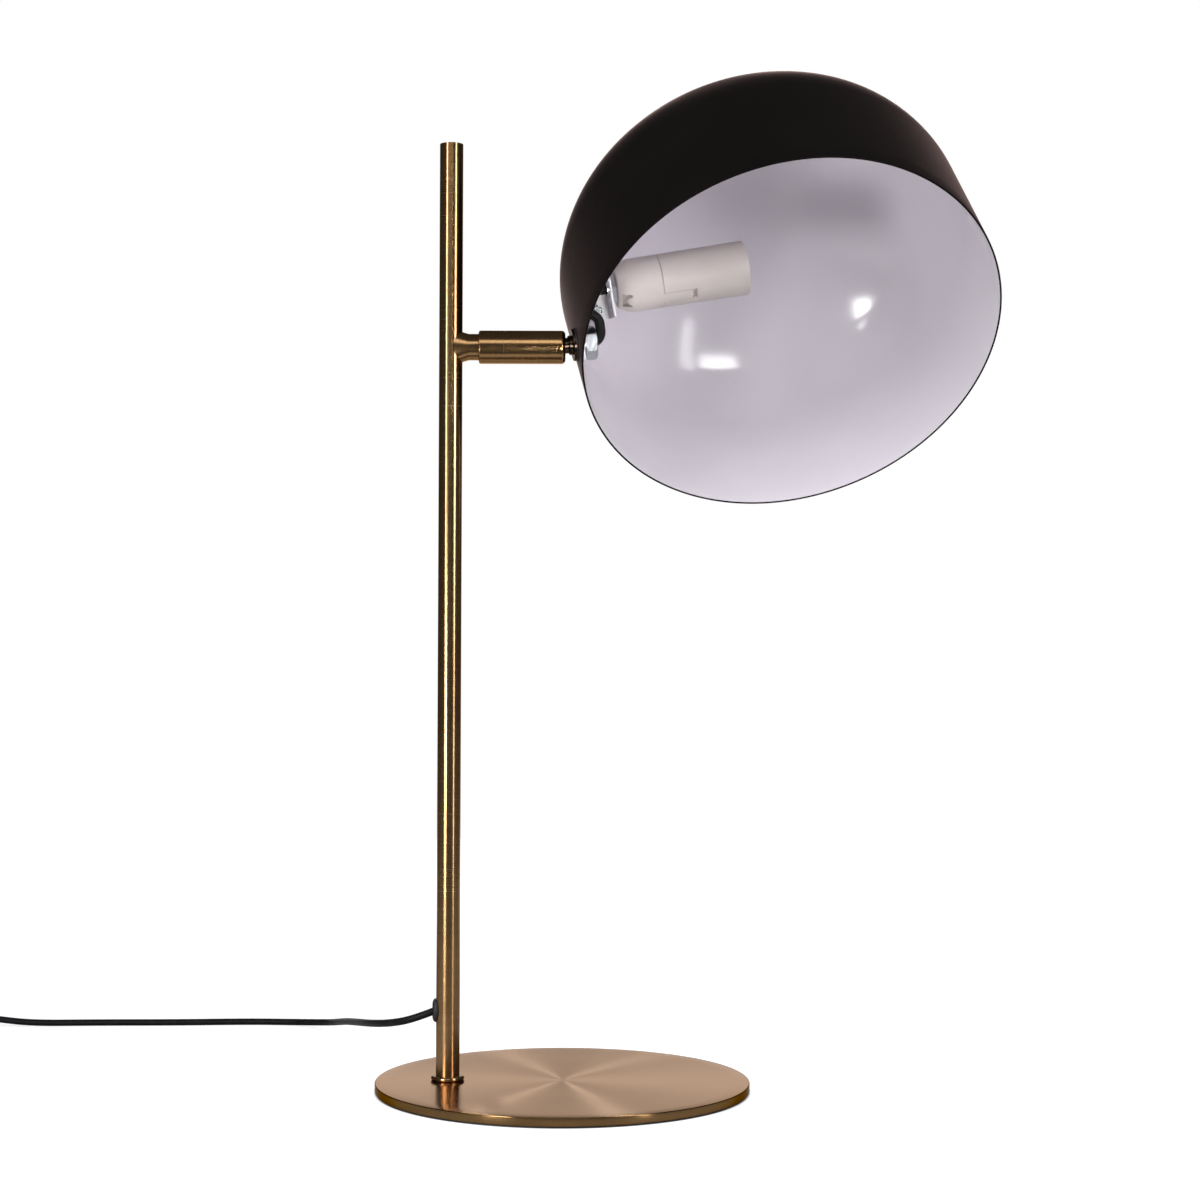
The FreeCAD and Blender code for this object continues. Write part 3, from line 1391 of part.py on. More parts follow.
# The flat two-pin plug, lying on its broad side with its pins towards -Y.
# The tapered rubber sleeves that keep the lead from kinking at the switch's two ends.
def build_reliefs():
    ends = (
        ("switch_relief_in", "0", "relief_root / 2", "relief_tip / 2"),
        ("switch_relief_out", "-switch_length - relief_length", "relief_tip / 2", "relief_root / 2"),
    )
    for name, start, first, second in ends:
        sleeve = cone(name + "_cone", first, second, "relief_length", (start, "0", "switch_axis"), ALONG)
        room = rod(name + "_bore", "cord_radius + fit_gap", "relief_length + 2 * overrun",
                   (start + " - overrun", "0", "switch_axis"), ALONG)
        keep(cut(name, sleeve, room), name, SWITCH)


def build_plug():
    frame = Placement(PLUG_PLACE + Vector(0, 0, size.plug_height / 2), Rotation(UP, -90))
    stations = [
        ("0", "plug_nose / 2", "plug_nose / 2"),
        ("plug_relief", "plug_tail_width / 2", "plug_tail_height / 2"),
        ("plug_relief + plug_length / 3", "plug_width / 2", "plug_height / 2"),
        ("plug_relief + plug_length", "plug_width / 2", "plug_height / 2"),
    ]
    pieces_here = []
    for index in range(len(stations) - 1):
        loft = doc.addObject("Part::Loft", "plug_loft" + str(index))
        sections = []
        for place, wide, tall in stations[index:index + 2]:
            sections.append(plug_section(place, wide, tall))
        loft.Sections = sections
        loft.Solid = True
        loft.Ruled = True
        pieces_here.append(loft)
    keep(joined("plug_body", *pieces_here), "plug_body", frame)

    pins = []
    sleeves = []
    start = "plug_relief + plug_length"
    for name, side in (("left", "plug_pin_pitch / 2"), ("right", "-plug_pin_pitch / 2")):
        sleeves.append(rod("pin_sleeve_" + name, "pin_sleeve_diameter / 2", "pin_sleeve_length",
                           (start, side, "0"), ALONG))
        shank = rod("pin_shank_" + name, "plug_pin_diameter / 2", "plug_pin_length - pin_sleeve_length",
                    (start + " + pin_sleeve_length", side, "0"), ALONG)
        doc.recompute()
        tip = doc.addObject("Part::Fillet", "pin_" + name)
        tip.Base = shank
        rounding = size.plug_pin_diameter / 4
        far = [index + 1 for index, edge in enumerate(shank.Shape.Edges)
               if edge.BoundBox.XMin > number(start + " + plug_pin_length") - size.fit_gap]
        tip.Edges = [(index, rounding, rounding) for index in far]
        pins.append(tip)
    keep(group("plug_pins", *pins), "plug_pins", frame)
    keep(group("pin_sleeves", *sleeves), "pin_sleeves", frame)


def plug_section(place, wide, tall):
    """A rectangle with cut corners across the plug, as a wire at its place along X."""
    across = number(wide)
    above = number(tall)
    bevel = above * size.plug_bevel_share
    along = number(place)
    corners = []
    for side, top in ((1, 1), (-1, 1), (-1, -1), (1, -1)):
        near = Vector(along, side * (across - bevel), top * above)
        far = Vector(along, side * across, top * (above - bevel))
        corners += [far, near] if side == top else [near, far]
    wire = doc.addObject("Part::Feature", "plug_section")
    wire.Shape = Part.makePolygon(corners + corners[:1])
    return wire


def write_pieces():
    """Stops on any failed object or bad shape, then writes one file for each piece."""
    doc.recompute()
    for thing in doc.Objects:
        if {"Invalid", "Error"} & set(thing.State):
            raise ValueError(thing.Name + " failed: " + str(thing.State))
    for piece in pieces:
        shape = piece.Shape
        if shape.isNull() or not shape.isValid() or not shape.Solids:
            raise ValueError(piece.Label + " has no valid solid")
    for piece in pieces:
        piece.Shape.exportStep(os.path.join("parts", piece.Label + ".step"))
        box = piece.Shape.BoundBox
        print("%-16s %d solid(s) %9.1f mm3  %6.1f x %6.1f x %6.1f" % (
            piece.Label, len(piece.Shape.Solids), piece.Shape.Volume, box.XLength, box.YLength, box.ZLength))
    print(len(pieces), "pieces")


doc.recompute()
build_base()
build_post()
build_grommet()
build_neck()
build_collar()
build_barrel()
build_stem()
build_shade()
build_bracket()
build_holder()
build_inner_leads()
build_cord()
build_switch()
build_reliefs()
build_plug()
write_pieces()
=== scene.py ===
"""The desk lamp as it looks: an aged brass stand, a black shade that is white inside,
a bulb holder on its bracket, and a black mains lead with its switch, coil and plug."""
import math
from types import SimpleNamespace

import bmesh
import bpy
from mathutils import Matrix, Vector


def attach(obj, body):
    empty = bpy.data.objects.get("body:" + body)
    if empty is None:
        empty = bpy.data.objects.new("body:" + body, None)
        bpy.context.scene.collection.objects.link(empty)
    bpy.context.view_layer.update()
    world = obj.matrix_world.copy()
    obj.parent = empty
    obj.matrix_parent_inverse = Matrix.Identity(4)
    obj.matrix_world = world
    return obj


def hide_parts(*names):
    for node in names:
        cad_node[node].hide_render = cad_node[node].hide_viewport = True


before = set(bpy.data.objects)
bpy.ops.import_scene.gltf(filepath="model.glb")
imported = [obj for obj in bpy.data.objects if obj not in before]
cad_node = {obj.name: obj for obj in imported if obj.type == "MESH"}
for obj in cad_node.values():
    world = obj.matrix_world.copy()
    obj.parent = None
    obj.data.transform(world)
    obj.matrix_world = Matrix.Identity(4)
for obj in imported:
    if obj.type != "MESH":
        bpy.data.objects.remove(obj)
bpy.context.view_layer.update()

MM = 0.001


# ---------------------------------------------------------------- places, as in the part's source

def shift(x, y, z):
    """A place moved by millimetres."""
    return Matrix.Translation(Vector((x, y, z)) * MM)


def turn(degrees, axis):
    """A place turned about one of its own axes."""
    return Matrix.Rotation(math.radians(degrees), 4, axis)


POST_OFFSET = 58.3
BALL_AT = (-7.0, 0, 378.6)
SHADE_TURN, SHADE_TILT = -44.5, -10.1
SHADE_REACH, RIM_DROP = 123.8, 16.5
BRACKET_TURN = 50
EAR_AT, EAR_LEAN, HOLDER_TURN = (33.6, 0, 26.6), -2.9, -47.7

ORIGIN = Matrix.Identity(4)
ALONG_X = turn(90, "Y")
POST = shift(-POST_OFFSET, 0, 0)
BARREL = shift(*BALL_AT) @ turn(SHADE_TURN, "X")
SHADE = BARREL @ turn(SHADE_TILT, "Y")
SHADE_AXIS = SHADE @ shift(SHADE_REACH, 0, -RIM_DROP)
HOLDER = (SHADE @ turn(BRACKET_TURN, "X") @ shift(*EAR_AT) @ turn(EAR_LEAN, "Y")
          @ turn(HOLDER_TURN, "X"))


def placed(name, data):
    """A new object in the scene."""
    made = bpy.data.objects.new(name, data)
    bpy.context.scene.collection.objects.link(made)
    return made


# ---------------------------------------------------------------- camera

CAMERA = SimpleNamespace(at=(0.0185, -1.1514, 0.218975), lens=67.602, sensor=36, up=1.5,
                         roll=-0.15)

camera_data = bpy.data.cameras.new("camera")
camera_data.lens = CAMERA.lens
camera_data.sensor_width = CAMERA.sensor
camera_data.sensor_fit = "HORIZONTAL"
camera = placed("camera", camera_data)
camera.matrix_world = (Matrix.Translation(CAMERA.at) @ turn(CAMERA.up, "X")
                       @ turn(CAMERA.roll, "Y") @ turn(90, "X"))
bpy.context.scene.camera = camera


# ---------------------------------------------------------------- shader writing

class Value:
    """One output of a shader node. Sums and products of these add their Math nodes."""

    def __init__(self, finish, socket):
        self.finish = finish
        self.socket = socket

    def maths(self, operation, first, second):
        return self.finish.node("Math", {"operation": operation}, {0: first, 1: second})

    def __add__(self, other):
        return self.maths("ADD", self, other)

    def __sub__(self, other):
        return self.maths("SUBTRACT", self, other)

    def __rsub__(self, other):
        return self.maths("SUBTRACT", other, self)

    def __mul__(self, other):
        return self.maths("MULTIPLY", self, other)

    def __pow__(self, other):
        return self.maths("POWER", self, other)

    __radd__ = __add__
    __rmul__ = __mul__

    def larger(self, other):
        return self.maths("MAXIMUM", self, other)

    def over(self, edge, width):
        """0 below the edge, 1 above it, with a soft step of that width."""
        settings = {"interpolation_type": "SMOOTHSTEP"}
        ends = {"Value": self, "From Min": edge - width / 2, "From Max": edge + width / 2}
        return self.finish.node("MapRange", settings, ends)


def distance(x, y):
    """How far a spot lies from its z axis."""
    return (x * x + y * y) ** 0.5


def centred(*parts):
    """Noises times their shares, less what they come to on average."""
    return sum(noise * share for noise, share in parts) - sum(share for _, share in parts) / 2


class Finish:
    """A material, or the world, and the nodes that are added to it."""

    def __init__(self, name, owner=None):
        self.owner = owner or bpy.data.materials.new(name)
        self.owner.use_nodes = True
        self.tree = self.owner.node_tree
        self.tree.nodes.clear()

    def node(self, kind, settings=None, inputs=None, output=0):
        made = self.tree.nodes.new("ShaderNode" + kind)
        for key, value in (settings or {}).items():
            setattr(made, key, value)
        for key, value in (inputs or {}).items():
            if isinstance(value, Value):
                self.tree.links.new(value.socket, made.inputs[key])
            else:
                made.inputs[key].default_value = value
        return Value(self, made.outputs[output])

    def spot(self, place=ORIGIN):
        """Object coordinates in metres, read in the frame of a place."""
        inward = place.inverted()
        return self.node("Mapping", None, {
            "Vector": self.node("TexCoord", output="Object"),
            "Location": inward.to_translation(), "Rotation": inward.to_euler()})

    def stretched(self, vector, scale):
        return self.node("VectorMath", {"operation": "MULTIPLY"}, {0: vector, 1: scale})

    def axes(self, vector):
        outputs = self.node("SeparateXYZ", None, {0: vector}).socket.node.outputs
        return [Value(self, outputs[i]) for i in range(3)]

    def rays(self):
        """1 where the camera looks, and 1 where metal or glass does."""
        camera_ray = self.node("LightPath", output="Is Camera Ray")
        outputs = camera_ray.socket.node.outputs
        glossy = Value(self, outputs["Is Glossy Ray"])
        return camera_ray, glossy.larger(Value(self, outputs["Is Transmission Ray"]))

    def noise(self, vector, scale, detail=2.0, rough=0.5):
        return self.node("TexNoise", {"noise_dimensions": "3D"}, {
            "Vector": vector, "Scale": scale, "Detail": detail, "Roughness": rough})

    def lines(self, along, scale, detail):
        """Noise along one measure, which gives fine parallel lines."""
        return self.node("TexNoise", {"noise_dimensions": "1D"}, {
            "W": along, "Scale": scale, "Detail": detail})

    def blend(self, amount, first, second):
        """One colour going over into another."""
        return self.node("Mix", {"data_type": "RGBA"}, {
            0: amount, 6: (*first, 1.0), 7: (*second, 1.0)}, 2)

    def bump(self, height, depth, strength):
        return self.node("Bump", None, {
            "Height": height, "Distance": depth, "Strength": strength})

    def end(self, shader, kind="OutputMaterial"):
        last = self.tree.nodes.new("ShaderNode" + kind)
        self.tree.links.new(shader.socket, last.inputs["Surface"])
        return self.owner

    def surface(self, **inputs):
        """The shader itself, each socket named with _ for a blank."""
        named = {key.replace("_", " "): value for key, value in inputs.items()}
        for key in ("Sheen Tint", "Specular Tint"):
            if key in named:
                named[key] = (*named[key], 1.0)
        return self.end(self.node("BsdfPrincipled", None, named))


# ---------------------------------------------------------------- finishes

COLOURS = SimpleNamespace(
    brass_light=(0.52, 0.31, 0.135), brass_dark=(0.26, 0.145, 0.062),
    disc_light=(0.52, 0.375, 0.27), disc_dark=(0.43, 0.30, 0.21),
    # the disc's edge and underside: the same brass coloured darker, which is painted shade
    disc_edge_painted_shade_light=(0.28, 0.165, 0.07), disc_edge_painted_shade_dark=(0.15, 0.085, 0.036),
    # the stem and flange brass below is coloured near black: painted shade
    painted_shade_brass_light=(0.085, 0.058, 0.040), painted_shade_brass_dark=(0.030, 0.022, 0.017),
    brass_glance=(0.5, 0.36, 0.25), disc_glance=(0.72, 0.58, 0.48), painted_shade_brass_glance=(0.6, 0.5, 0.45),
    black_light=(0.0075, 0.0062, 0.0062), black_dark=(0.0045, 0.0038, 0.0040),
    black_glance=(1.0, 0.74, 0.66), black_sheen=(0.95, 0.64, 0.58),
    white_light=(0.79, 0.75, 0.80), white_dark=(0.74, 0.70, 0.755),
    lead_light=(0.012, 0.012, 0.013), lead_dark=(0.006, 0.006, 0.007),
    soft_rubber=(0.012, 0.012, 0.013), black_plastic=(0.014, 0.014, 0.015),
    rocker_plastic=(0.022, 0.022, 0.024), bearing_plastic=(0.35, 0.34, 0.31),
    holder_plastic=(0.56, 0.505, 0.485), carrier_plastic=(0.30, 0.28, 0.26),
    bracket_paint=(0.86, 0.83, 0.87), sleeve_plastic=(0.006, 0.0055, 0.006),
    nickel_plate=(0.62, 0.60, 0.57), zinc_plate=(0.74, 0.76, 0.79),
    spring_steel=(0.38, 0.38, 0.39), plain_brass=(0.66, 0.47, 0.20))
METAL_DULL, PLASTIC_DULL = 0.72, 0.93
ROUND_THE_AXIS = 0.25


def darker(colour, share):
    """A colour with that share of its light."""
    return tuple(part * share for part in colour)


def aged_brass(name, place, light, dark, across=False, grain=1.0, anisotropic=0.0, rough=0.2,
               glance=COLOURS.brass_glance, lacquer=0.0, cut=0.00002):
    """Brass darkened with age and brushed on the lathe; the colours given for the stem, the
    flange and the foot's edge are darker still, which is painted shade. The brush lines run round
    the place's z axis, and lie side by side along it, or across a flat face along its radius."""
    finish = Finish(name)
    spot = finish.spot(place)
    x, y, z = finish.axes(spot)
    along = distance(x, y) if across else z
    fine = finish.lines(along, scale=2600.0, detail=3.0)
    broad = finish.lines(along, scale=420.0, detail=2.0)
    specks = finish.noise(finish.stretched(spot, (1, 1, 2.5)), scale=900.0, detail=3.0, rough=0.6)
    cloud = finish.noise(spot, scale=34.0, detail=3.0, rough=0.55)
    brushed = centred((fine, 0.5), (broad, 0.25), (specks, 0.45))
    worn = (brushed * grain + centred((cloud, 0.5)) + 0.5).over(edge=0.5, width=0.9)
    return finish.surface(
        Base_Color=finish.blend(worn, dark, light), Metallic=1.0,
        Anisotropic=anisotropic, Anisotropic_Rotation=ROUND_THE_AXIS,
        Specular_Tint=glance, Coat_Weight=lacquer, Coat_Roughness=0.08,
        Roughness=centred((fine, 0.12), (cloud, 0.06)) + rough,
        Normal=finish.bump(fine, depth=cut, strength=0.5 * grain))


def bare_metal(name, colour, rough):
    """Plated or rolled metal with a faint grain."""
    finish = Finish(name)
    spot = finish.spot()
    grain = finish.noise(spot, scale=500.0, detail=3.0, rough=0.6)
    cloud = finish.noise(spot, scale=90.0)
    bright = cloud.over(edge=0.5, width=0.6)
    return finish.surface(
        Base_Color=finish.blend(bright, darker(colour, METAL_DULL), colour), Metallic=1.0,
        Roughness=centred((grain, 0.16), (cloud, 0.08)) + rough,
        Normal=finish.bump(grain, depth=0.00002, strength=0.35))


def moulded(name, colour, rough, scale=1400.0, depth=0.00003, shine=0.5):
    """Moulded plastic or rubber with a fine spark-eroded grain and small cloudy changes."""
    finish = Finish(name)
    spot = finish.spot()
    grain = finish.noise(spot, scale)
    cloud = finish.noise(spot, scale=55.0)
    bright = cloud.over(edge=0.5, width=0.7)
    return finish.surface(
        Base_Color=finish.blend(bright, darker(colour, PLASTIC_DULL), colour),
        Roughness=centred((cloud, 0.10), (grain, 0.08)) + rough,
        Specular_IOR_Level=shine,
        Normal=finish.bump(grain, depth, strength=0.4))


def shade_black():
    """Matt black stove paint: a faint orange peel, and a warm glow where it turns away."""
    finish = Finish("shade_black")
    spot = finish.spot(SHADE_AXIS)
    peel = finish.noise(spot, scale=260.0, rough=0.45)
    dust = finish.noise(spot, scale=2400.0, rough=0.6)
    cloud = finish.noise(spot, scale=14.0)
    bright = cloud.over(edge=0.5, width=0.8)
    return finish.surface(
        Base_Color=finish.blend(bright, COLOURS.black_dark, COLOURS.black_light),
        Roughness=centred((peel, 0.08), (dust, 0.10), (cloud, 0.05)) + 0.475,
        Specular_IOR_Level=0.055, Specular_Tint=COLOURS.black_glance,
        Sheen_Weight=0.75, Sheen_Roughness=0.22, Sheen_Tint=COLOURS.black_sheen,
        Normal=finish.bump(peel + dust * 0.25, depth=0.00006, strength=0.35))


def shade_white():
    """Glossy white paint on the inside of the shade, a little cool."""
    finish = Finish("shade_white")
    spot = finish.spot(SHADE_AXIS)
    peel = finish.noise(spot, scale=190.0, rough=0.45)
    cloud = finish.noise(spot, scale=18.0)
    bright = cloud.over(edge=0.5, width=0.8)
    return finish.surface(
        Base_Color=finish.blend(bright, COLOURS.white_dark, COLOURS.white_light),
        Roughness=centred((peel, 0.05), (cloud, 0.03)) + 0.14,
        Specular_IOR_Level=0.5,
        Normal=finish.bump(peel, depth=0.00005, strength=0.25))


def lead_black():
    """The lead's plastic sheath: satin, with the faint ripple of the cores under it."""
    finish = Finish("lead_black")
    spot = finish.spot()
    grain = finish.noise(spot, scale=1500.0)
    ripple = finish.noise(spot, scale=160.0, detail=1.0)
    bright = ripple.over(edge=0.5, width=0.7)
    return finish.surface(
        Base_Color=finish.blend(bright, COLOURS.lead_dark, COLOURS.lead_light),
        Roughness=centred((ripple, 0.14), (grain, 0.10)) + 0.42,
        Specular_IOR_Level=0.08,
        Normal=finish.bump(ripple + grain * 0.2, depth=0.0001, strength=0.3))


looks = {
    "disc": aged_brass("disc_brass", ORIGIN, COLOURS.disc_light, COLOURS.disc_dark, across=True,
                       grain=0.3, anisotropic=0.95, rough=0.17, glance=COLOURS.disc_glance),
    # painted shade: the disc's edge and underside get a darker copy of its brass
    "disc_edge": aged_brass("disc_edge_brass", ORIGIN, COLOURS.disc_edge_painted_shade_light,
                            COLOURS.disc_edge_painted_shade_dark, anisotropic=0.7),
    "post": aged_brass("post_brass", POST, COLOURS.brass_light, COLOURS.brass_dark,
                       anisotropic=0.8, rough=0.24, lacquer=0.45),
    "arm": aged_brass("arm_brass", BARREL @ ALONG_X, COLOURS.brass_light, COLOURS.brass_dark,
                      lacquer=0.15, cut=0.00006),
    # painted shade: the stem and flange get their brass coloured near black
    "flange": aged_brass("flange_brass", SHADE @ ALONG_X, COLOURS.painted_shade_brass_light,
                         COLOURS.painted_shade_brass_dark, rough=0.24, glance=COLOURS.painted_shade_brass_glance),
    "shade_black": shade_black(),
    "shade_white": shade_white(),
    "lead": lead_black(),
    "rubber": moulded("soft_rubber", COLOURS.soft_rubber, rough=0.53, scale=900.0),
    "black_plastic": moulded("black_plastic", COLOURS.black_plastic, rough=0.36),
    "rocker": moulded("rocker_plastic", COLOURS.rocker_plastic, rough=0.26),
    "bearing": moulded("bearing_plastic", COLOURS.bearing_plastic, rough=0.43),
    "ivory": moulded("holder_plastic", COLOURS.holder_plastic, rough=0.40, scale=1200.0,
                     depth=0.00002, shine=0.35),
    "carrier": moulded("carrier_plastic", COLOURS.carrier_plastic, rough=0.38),
    "white_steel": moulded("bracket_paint", COLOURS.bracket_paint, rough=0.28, scale=700.0),
    "sleeve": moulded("sleeve_plastic", COLOURS.sleeve_plastic, rough=0.48, shine=0.16),
    "plated": bare_metal("nickel_plate", COLOURS.nickel_plate, rough=0.22),
    "zinc": bare_metal("zinc_plate", COLOURS.zinc_plate, rough=0.22),
    "spring": bare_metal("spring_steel", COLOURS.spring_steel, rough=0.3),
    "plain_brass": bare_metal("plain_brass", COLOURS.plain_brass, rough=0.26),
}


# ---------------------------------------------------------------- floor, background and lights

DISC = SimpleNamespace(radius=95.0, low=0.8, high=5.1, edge=0.4, edge_steps=4, rounds=256,
                       rings=(87.0, 47.5, 6.0, 0.0))
SWEEP = SimpleNamespace(side=0.93, side_soft=0.06, top=0.75, top_soft=0.2)
ROOM = SimpleNamespace(colour=(0.95, 0.96, 1.0, 1.0), light=0.29, less_in_metal=0.22)
FLOOR = SimpleNamespace(back=1.6, front=-0.26, side=0.9, colour=(0.55, 0.55, 0.55, 1.0),
                        far=0.5, far_soft=0.5, near_glow=0.72, far_glow=0.34, painted_gap_shade_soft=0.002)
WHITE = (1.0, 1.0, 1.0, 1.0)


def world_light():
    """A dim studio with a white sweep behind the lamp. The camera sees white everywhere,
    and mirrors and glass see the sweep where it stands."""
    world = bpy.data.worlds.new("studio")
    bpy.context.scene.world = world
    finish = Finish("studio", world)
    camera_ray, mirror_ray = finish.rays()
    x, y, z = finish.axes(finish.node("TexCoord", output="Generated"))
    sweep = y.over(SWEEP.side, SWEEP.side_soft) * (1 - z.over(SWEEP.top, SWEEP.top_soft))
    dim = finish.node("Background", None, {
        "Color": ROOM.colour, "Strength": ROOM.light - mirror_ray * ROOM.less_in_metal})
    white = finish.node("Background", None, {"Color": WHITE, "Strength": 1.0})
    shown = camera_ray.larger(mirror_ray * sweep)
    finish.end(finish.node("MixShader", None, {0: shown, 1: dim, 2: white}), "OutputWorld")


def floor_finish():
    """White floor that still takes the lamp's shadow, has its glow taken away under the disc as
    painted shade in the gap there, and goes over into the background."""
    finish = Finish("floor_white")
    camera_ray, mirror_ray = finish.rays()
    x, y, z = finish.axes(finish.spot())
    far = y.over(FLOOR.far, FLOOR.far_soft)
    # painted shade: the glow is taken away inside the disc's radius, so the gap under the disc
    # shows dark
    clear = distance(x, y).over(DISC.radius * MM, FLOOR.painted_gap_shade_soft)
    shown = camera_ray.larger(far * mirror_ray)
    lit = finish.node("BsdfDiffuse", None, {"Color": FLOOR.colour})
    glow = finish.node("Emission", None, {
        "Strength": shown * clear * (far * FLOOR.far_glow + FLOOR.near_glow)})
    return finish.end(finish.node("AddShader", None, {0: lit, 1: glow}))


def floor():
    """A flat sheet under the lamp, from in front of it to far behind."""
    corners = [(-FLOOR.side, FLOOR.front, 0), (FLOOR.side, FLOOR.front, 0),
               (FLOOR.side, FLOOR.back, 0), (-FLOOR.side, FLOOR.back, 0)]
    mesh = bpy.data.meshes.new("floor")
    mesh.from_pydata(corners, [], [(0, 1, 2, 3)])
    mesh.materials.append(floor_finish())
    placed("floor", mesh)


def softbox(name, azimuth, height, away, width, tall, power, aim=(0.03, 0.03, 0.3), spread=180):
    """A soft lamp that faces a point of the object. Azimuth 0 is at the camera."""
    data = bpy.data.lights.new(name, "AREA")
    data.shape = "RECTANGLE"
    data.size = width
    data.size_y = tall
    data.energy = power
    data.spread = math.radians(spread)
    lamp = placed(name, data)
    round_it = math.radians(azimuth)
    at = Vector((math.sin(round_it) * away, -math.cos(round_it) * away, height))
    facing = (Vector(aim) - at).to_track_quat("-Z", "Y")
    lamp.matrix_world = Matrix.Translation(at) @ facing.to_matrix().to_4x4()
    lamp.visible_camera = False


world_light()
floor()
softbox("key_right", azimuth=50, height=0.8, away=1.5, width=0.16, tall=1.8, power=8)
softbox("near_window", azimuth=44, height=0.43, away=0.57, width=0.17, tall=0.07, power=0.75)
softbox("fill_left", azimuth=-41, height=0.75, away=1.5, width=0.12, tall=1.4, power=8)
softbox("low_card", azimuth=-34, height=0.155, away=0.54, width=0.1, tall=0.1, power=1.2)
softbox("top_front", azimuth=-14, height=1.42, away=1.65, width=2.1, tall=0.65, power=8.5)
softbox("bracket_spot", azimuth=17, height=0.25, away=0.52, width=0.1, tall=0.1, power=0.014,
        aim=(0.005, 0.0, 0.4), spread=12)
softbox("back_right", azimuth=164, height=1.25, away=0.8, width=0.1, tall=0.1, power=0.065,
        aim=(0, 0, 0), spread=20)
softbox("back_left", azimuth=-155, height=1.1, away=0.83, width=0.1, tall=0.1, power=0.065,
        aim=(0, 0, 0), spread=20)


# ---------------------------------------------------------------- shapes

SHARP_EDGE = 32


def arc(centre, radius, start, end, steps):
    """Points of an arc in an outline, from one angle to another, in degrees."""
    angles = [math.radians(start + (end - start) * i / steps) for i in range(steps + 1)]
    return [(centre[0] + radius * math.cos(a), centre[1] + radius * math.sin(a)) for a in angles]


def evenly(rounds):
    """The angles of that many places round a circle."""
    return [2 * math.pi * i / rounds for i in range(rounds)]


def finished(name, shape, place, materials, body, stands_for):
    """Makes the object of a shape built in millimetres, puts it on its body and hides the CAD
    node it stands for.
    """
    shape.transform(place @ Matrix.Scale(MM, 4))
    mesh = bpy.data.meshes.new(name)
    shape.to_mesh(mesh)
    shape.free()
    for material in materials:
        mesh.materials.append(material)
    mesh.shade_smooth()
    mesh.set_sharp_from_angle(angle=math.radians(SHARP_EDGE))
    made = placed(name, mesh)
    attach(made, body)
    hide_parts(stands_for)
    return made


def skinned(shape, rings, faces=None):
    """Faces from each ring to the next, and from the last to the first. A ring of one corner
    is a pole. faces gives each run between rings its material's number."""
    rounds = max(len(ring) for ring in rings)
    for run, low in enumerate(rings):
        high = rings[(run + 1) % len(rings)]
        if len(low) == 1 and len(high) == 1:
            continue
        for i in range(rounds):
            j = (i + 1) % rounds
            corners = [low[i % len(low)], low[j % len(low)],
                       high[j % len(high)], high[i % len(high)]]
            face = shape.faces.new(list(dict.fromkeys(corners)))
            face.material_index = faces[run] if faces else 0
    bmesh.ops.recalc_face_normals(shape, faces=shape.faces)
    return shape


def turned(outline, angles, faces=None):
    """A shape turned about z from a closed outline of (radius, height)."""
    shape = bmesh.new()
    rings = []
    for radius, height in outline:
        places = [(math.cos(a), math.sin(a)) for a in angles] if radius else [(0, 0)]
        rings.append([shape.verts.new((radius * x, radius * y, height)) for x, y in places])
    return skinned(shape, rings, faces)


# ---------------------------------------------------------------- mains lead

LEAD_RADIUS = 1.9
LINE_ORDER, LINE_STEPS, ROUND_STEPS = 3, 8, 5
LYING, SWITCH_MIDDLE = 1.95, 6.5
SWITCH_IN = (-378, 190.5, SWITCH_MIDDLE)
SWITCH_OUT = (-436, 190.5, SWITCH_MIDDLE)
GROMMET_MOUTH = (-66.2, 0, 39.47)
RUN = [
    GROMMET_MOUTH, (-76.3, 0, 35.55), (-87.6, 6, 32.6), (-98.6, 22, 29.8), (-110.2, 55, 25.2),
    (-120.6, 100, 18.4), (-130, 145, 10.9), (-139.5, 180, 4.9), (-160, 199, LYING),
    (-190, 201, LYING), (-232, 197, LYING), (-280, 196, LYING), (-318, 193, LYING),
    (-338, 191.3, 4.5), (-355, 190.5, SWITCH_MIDDLE), SWITCH_IN]
COIL = SimpleNamespace(x=-494, y=160.2, radius=30.6, pitch=4.3, layer=4.3, start=90,
                       turns=8.25, turns_in=4, climb_from=3.75, climb_turns=0.5, points=16)


def coil_point(turns):
    """The put-away coil winds inwards on the table for four turns, then outwards on top."""
    angle = math.radians(COIL.start + 360 * turns)
    wound_in = turns if turns < COIL.turns_in else 2 * COIL.turns_in - turns
    radius = COIL.radius - COIL.pitch * wound_in
    climbed = min(1.0, max(0.0, (turns - COIL.climb_from) / COIL.climb_turns))
    return (COIL.x + radius * math.cos(angle), COIL.y + radius * math.sin(angle),
            LYING + COIL.layer * climbed)


PUT_AWAY = [SWITCH_OUT, (-462, 190.5, SWITCH_MIDDLE), (-479, 190.8, LYING)]
PUT_AWAY += [coil_point(i / COIL.points) for i in range(int(COIL.turns * COIL.points) + 1)]
PUT_AWAY += [(-525.675, 152, 6.25), (-524, 141, 6.8), (-524, 131, 6.8)]


def lead(name, points):
    """A black lead whose line is one smooth curve with these points as its control points."""
    curve = bpy.data.curves.new(name, "CURVE")
    curve.dimensions = "3D"
    line = curve.splines.new("NURBS")
    line.points.add(len(points) - 1)
    for knot, point in zip(line.points, points):
        knot.co = (*(Vector(point) * MM), 1.0)
    line.order_u = LINE_ORDER
    line.use_endpoint_u = True
    line.resolution_u = LINE_STEPS
    curve.bevel_depth = LEAD_RADIUS * MM
    curve.bevel_resolution = ROUND_STEPS
    curve.use_fill_caps = True
    curve.materials.append(looks["lead"])
    made = placed(name, curve)
    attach(made, "stand")
    return made


run = lead("lead_to_switch", RUN)
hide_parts("lead_run")
put_away = lead("lead_to_plug", PUT_AWAY)
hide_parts("lead_link", "lead_coil", "lead_tail")


# ---------------------------------------------------------------- foot disc

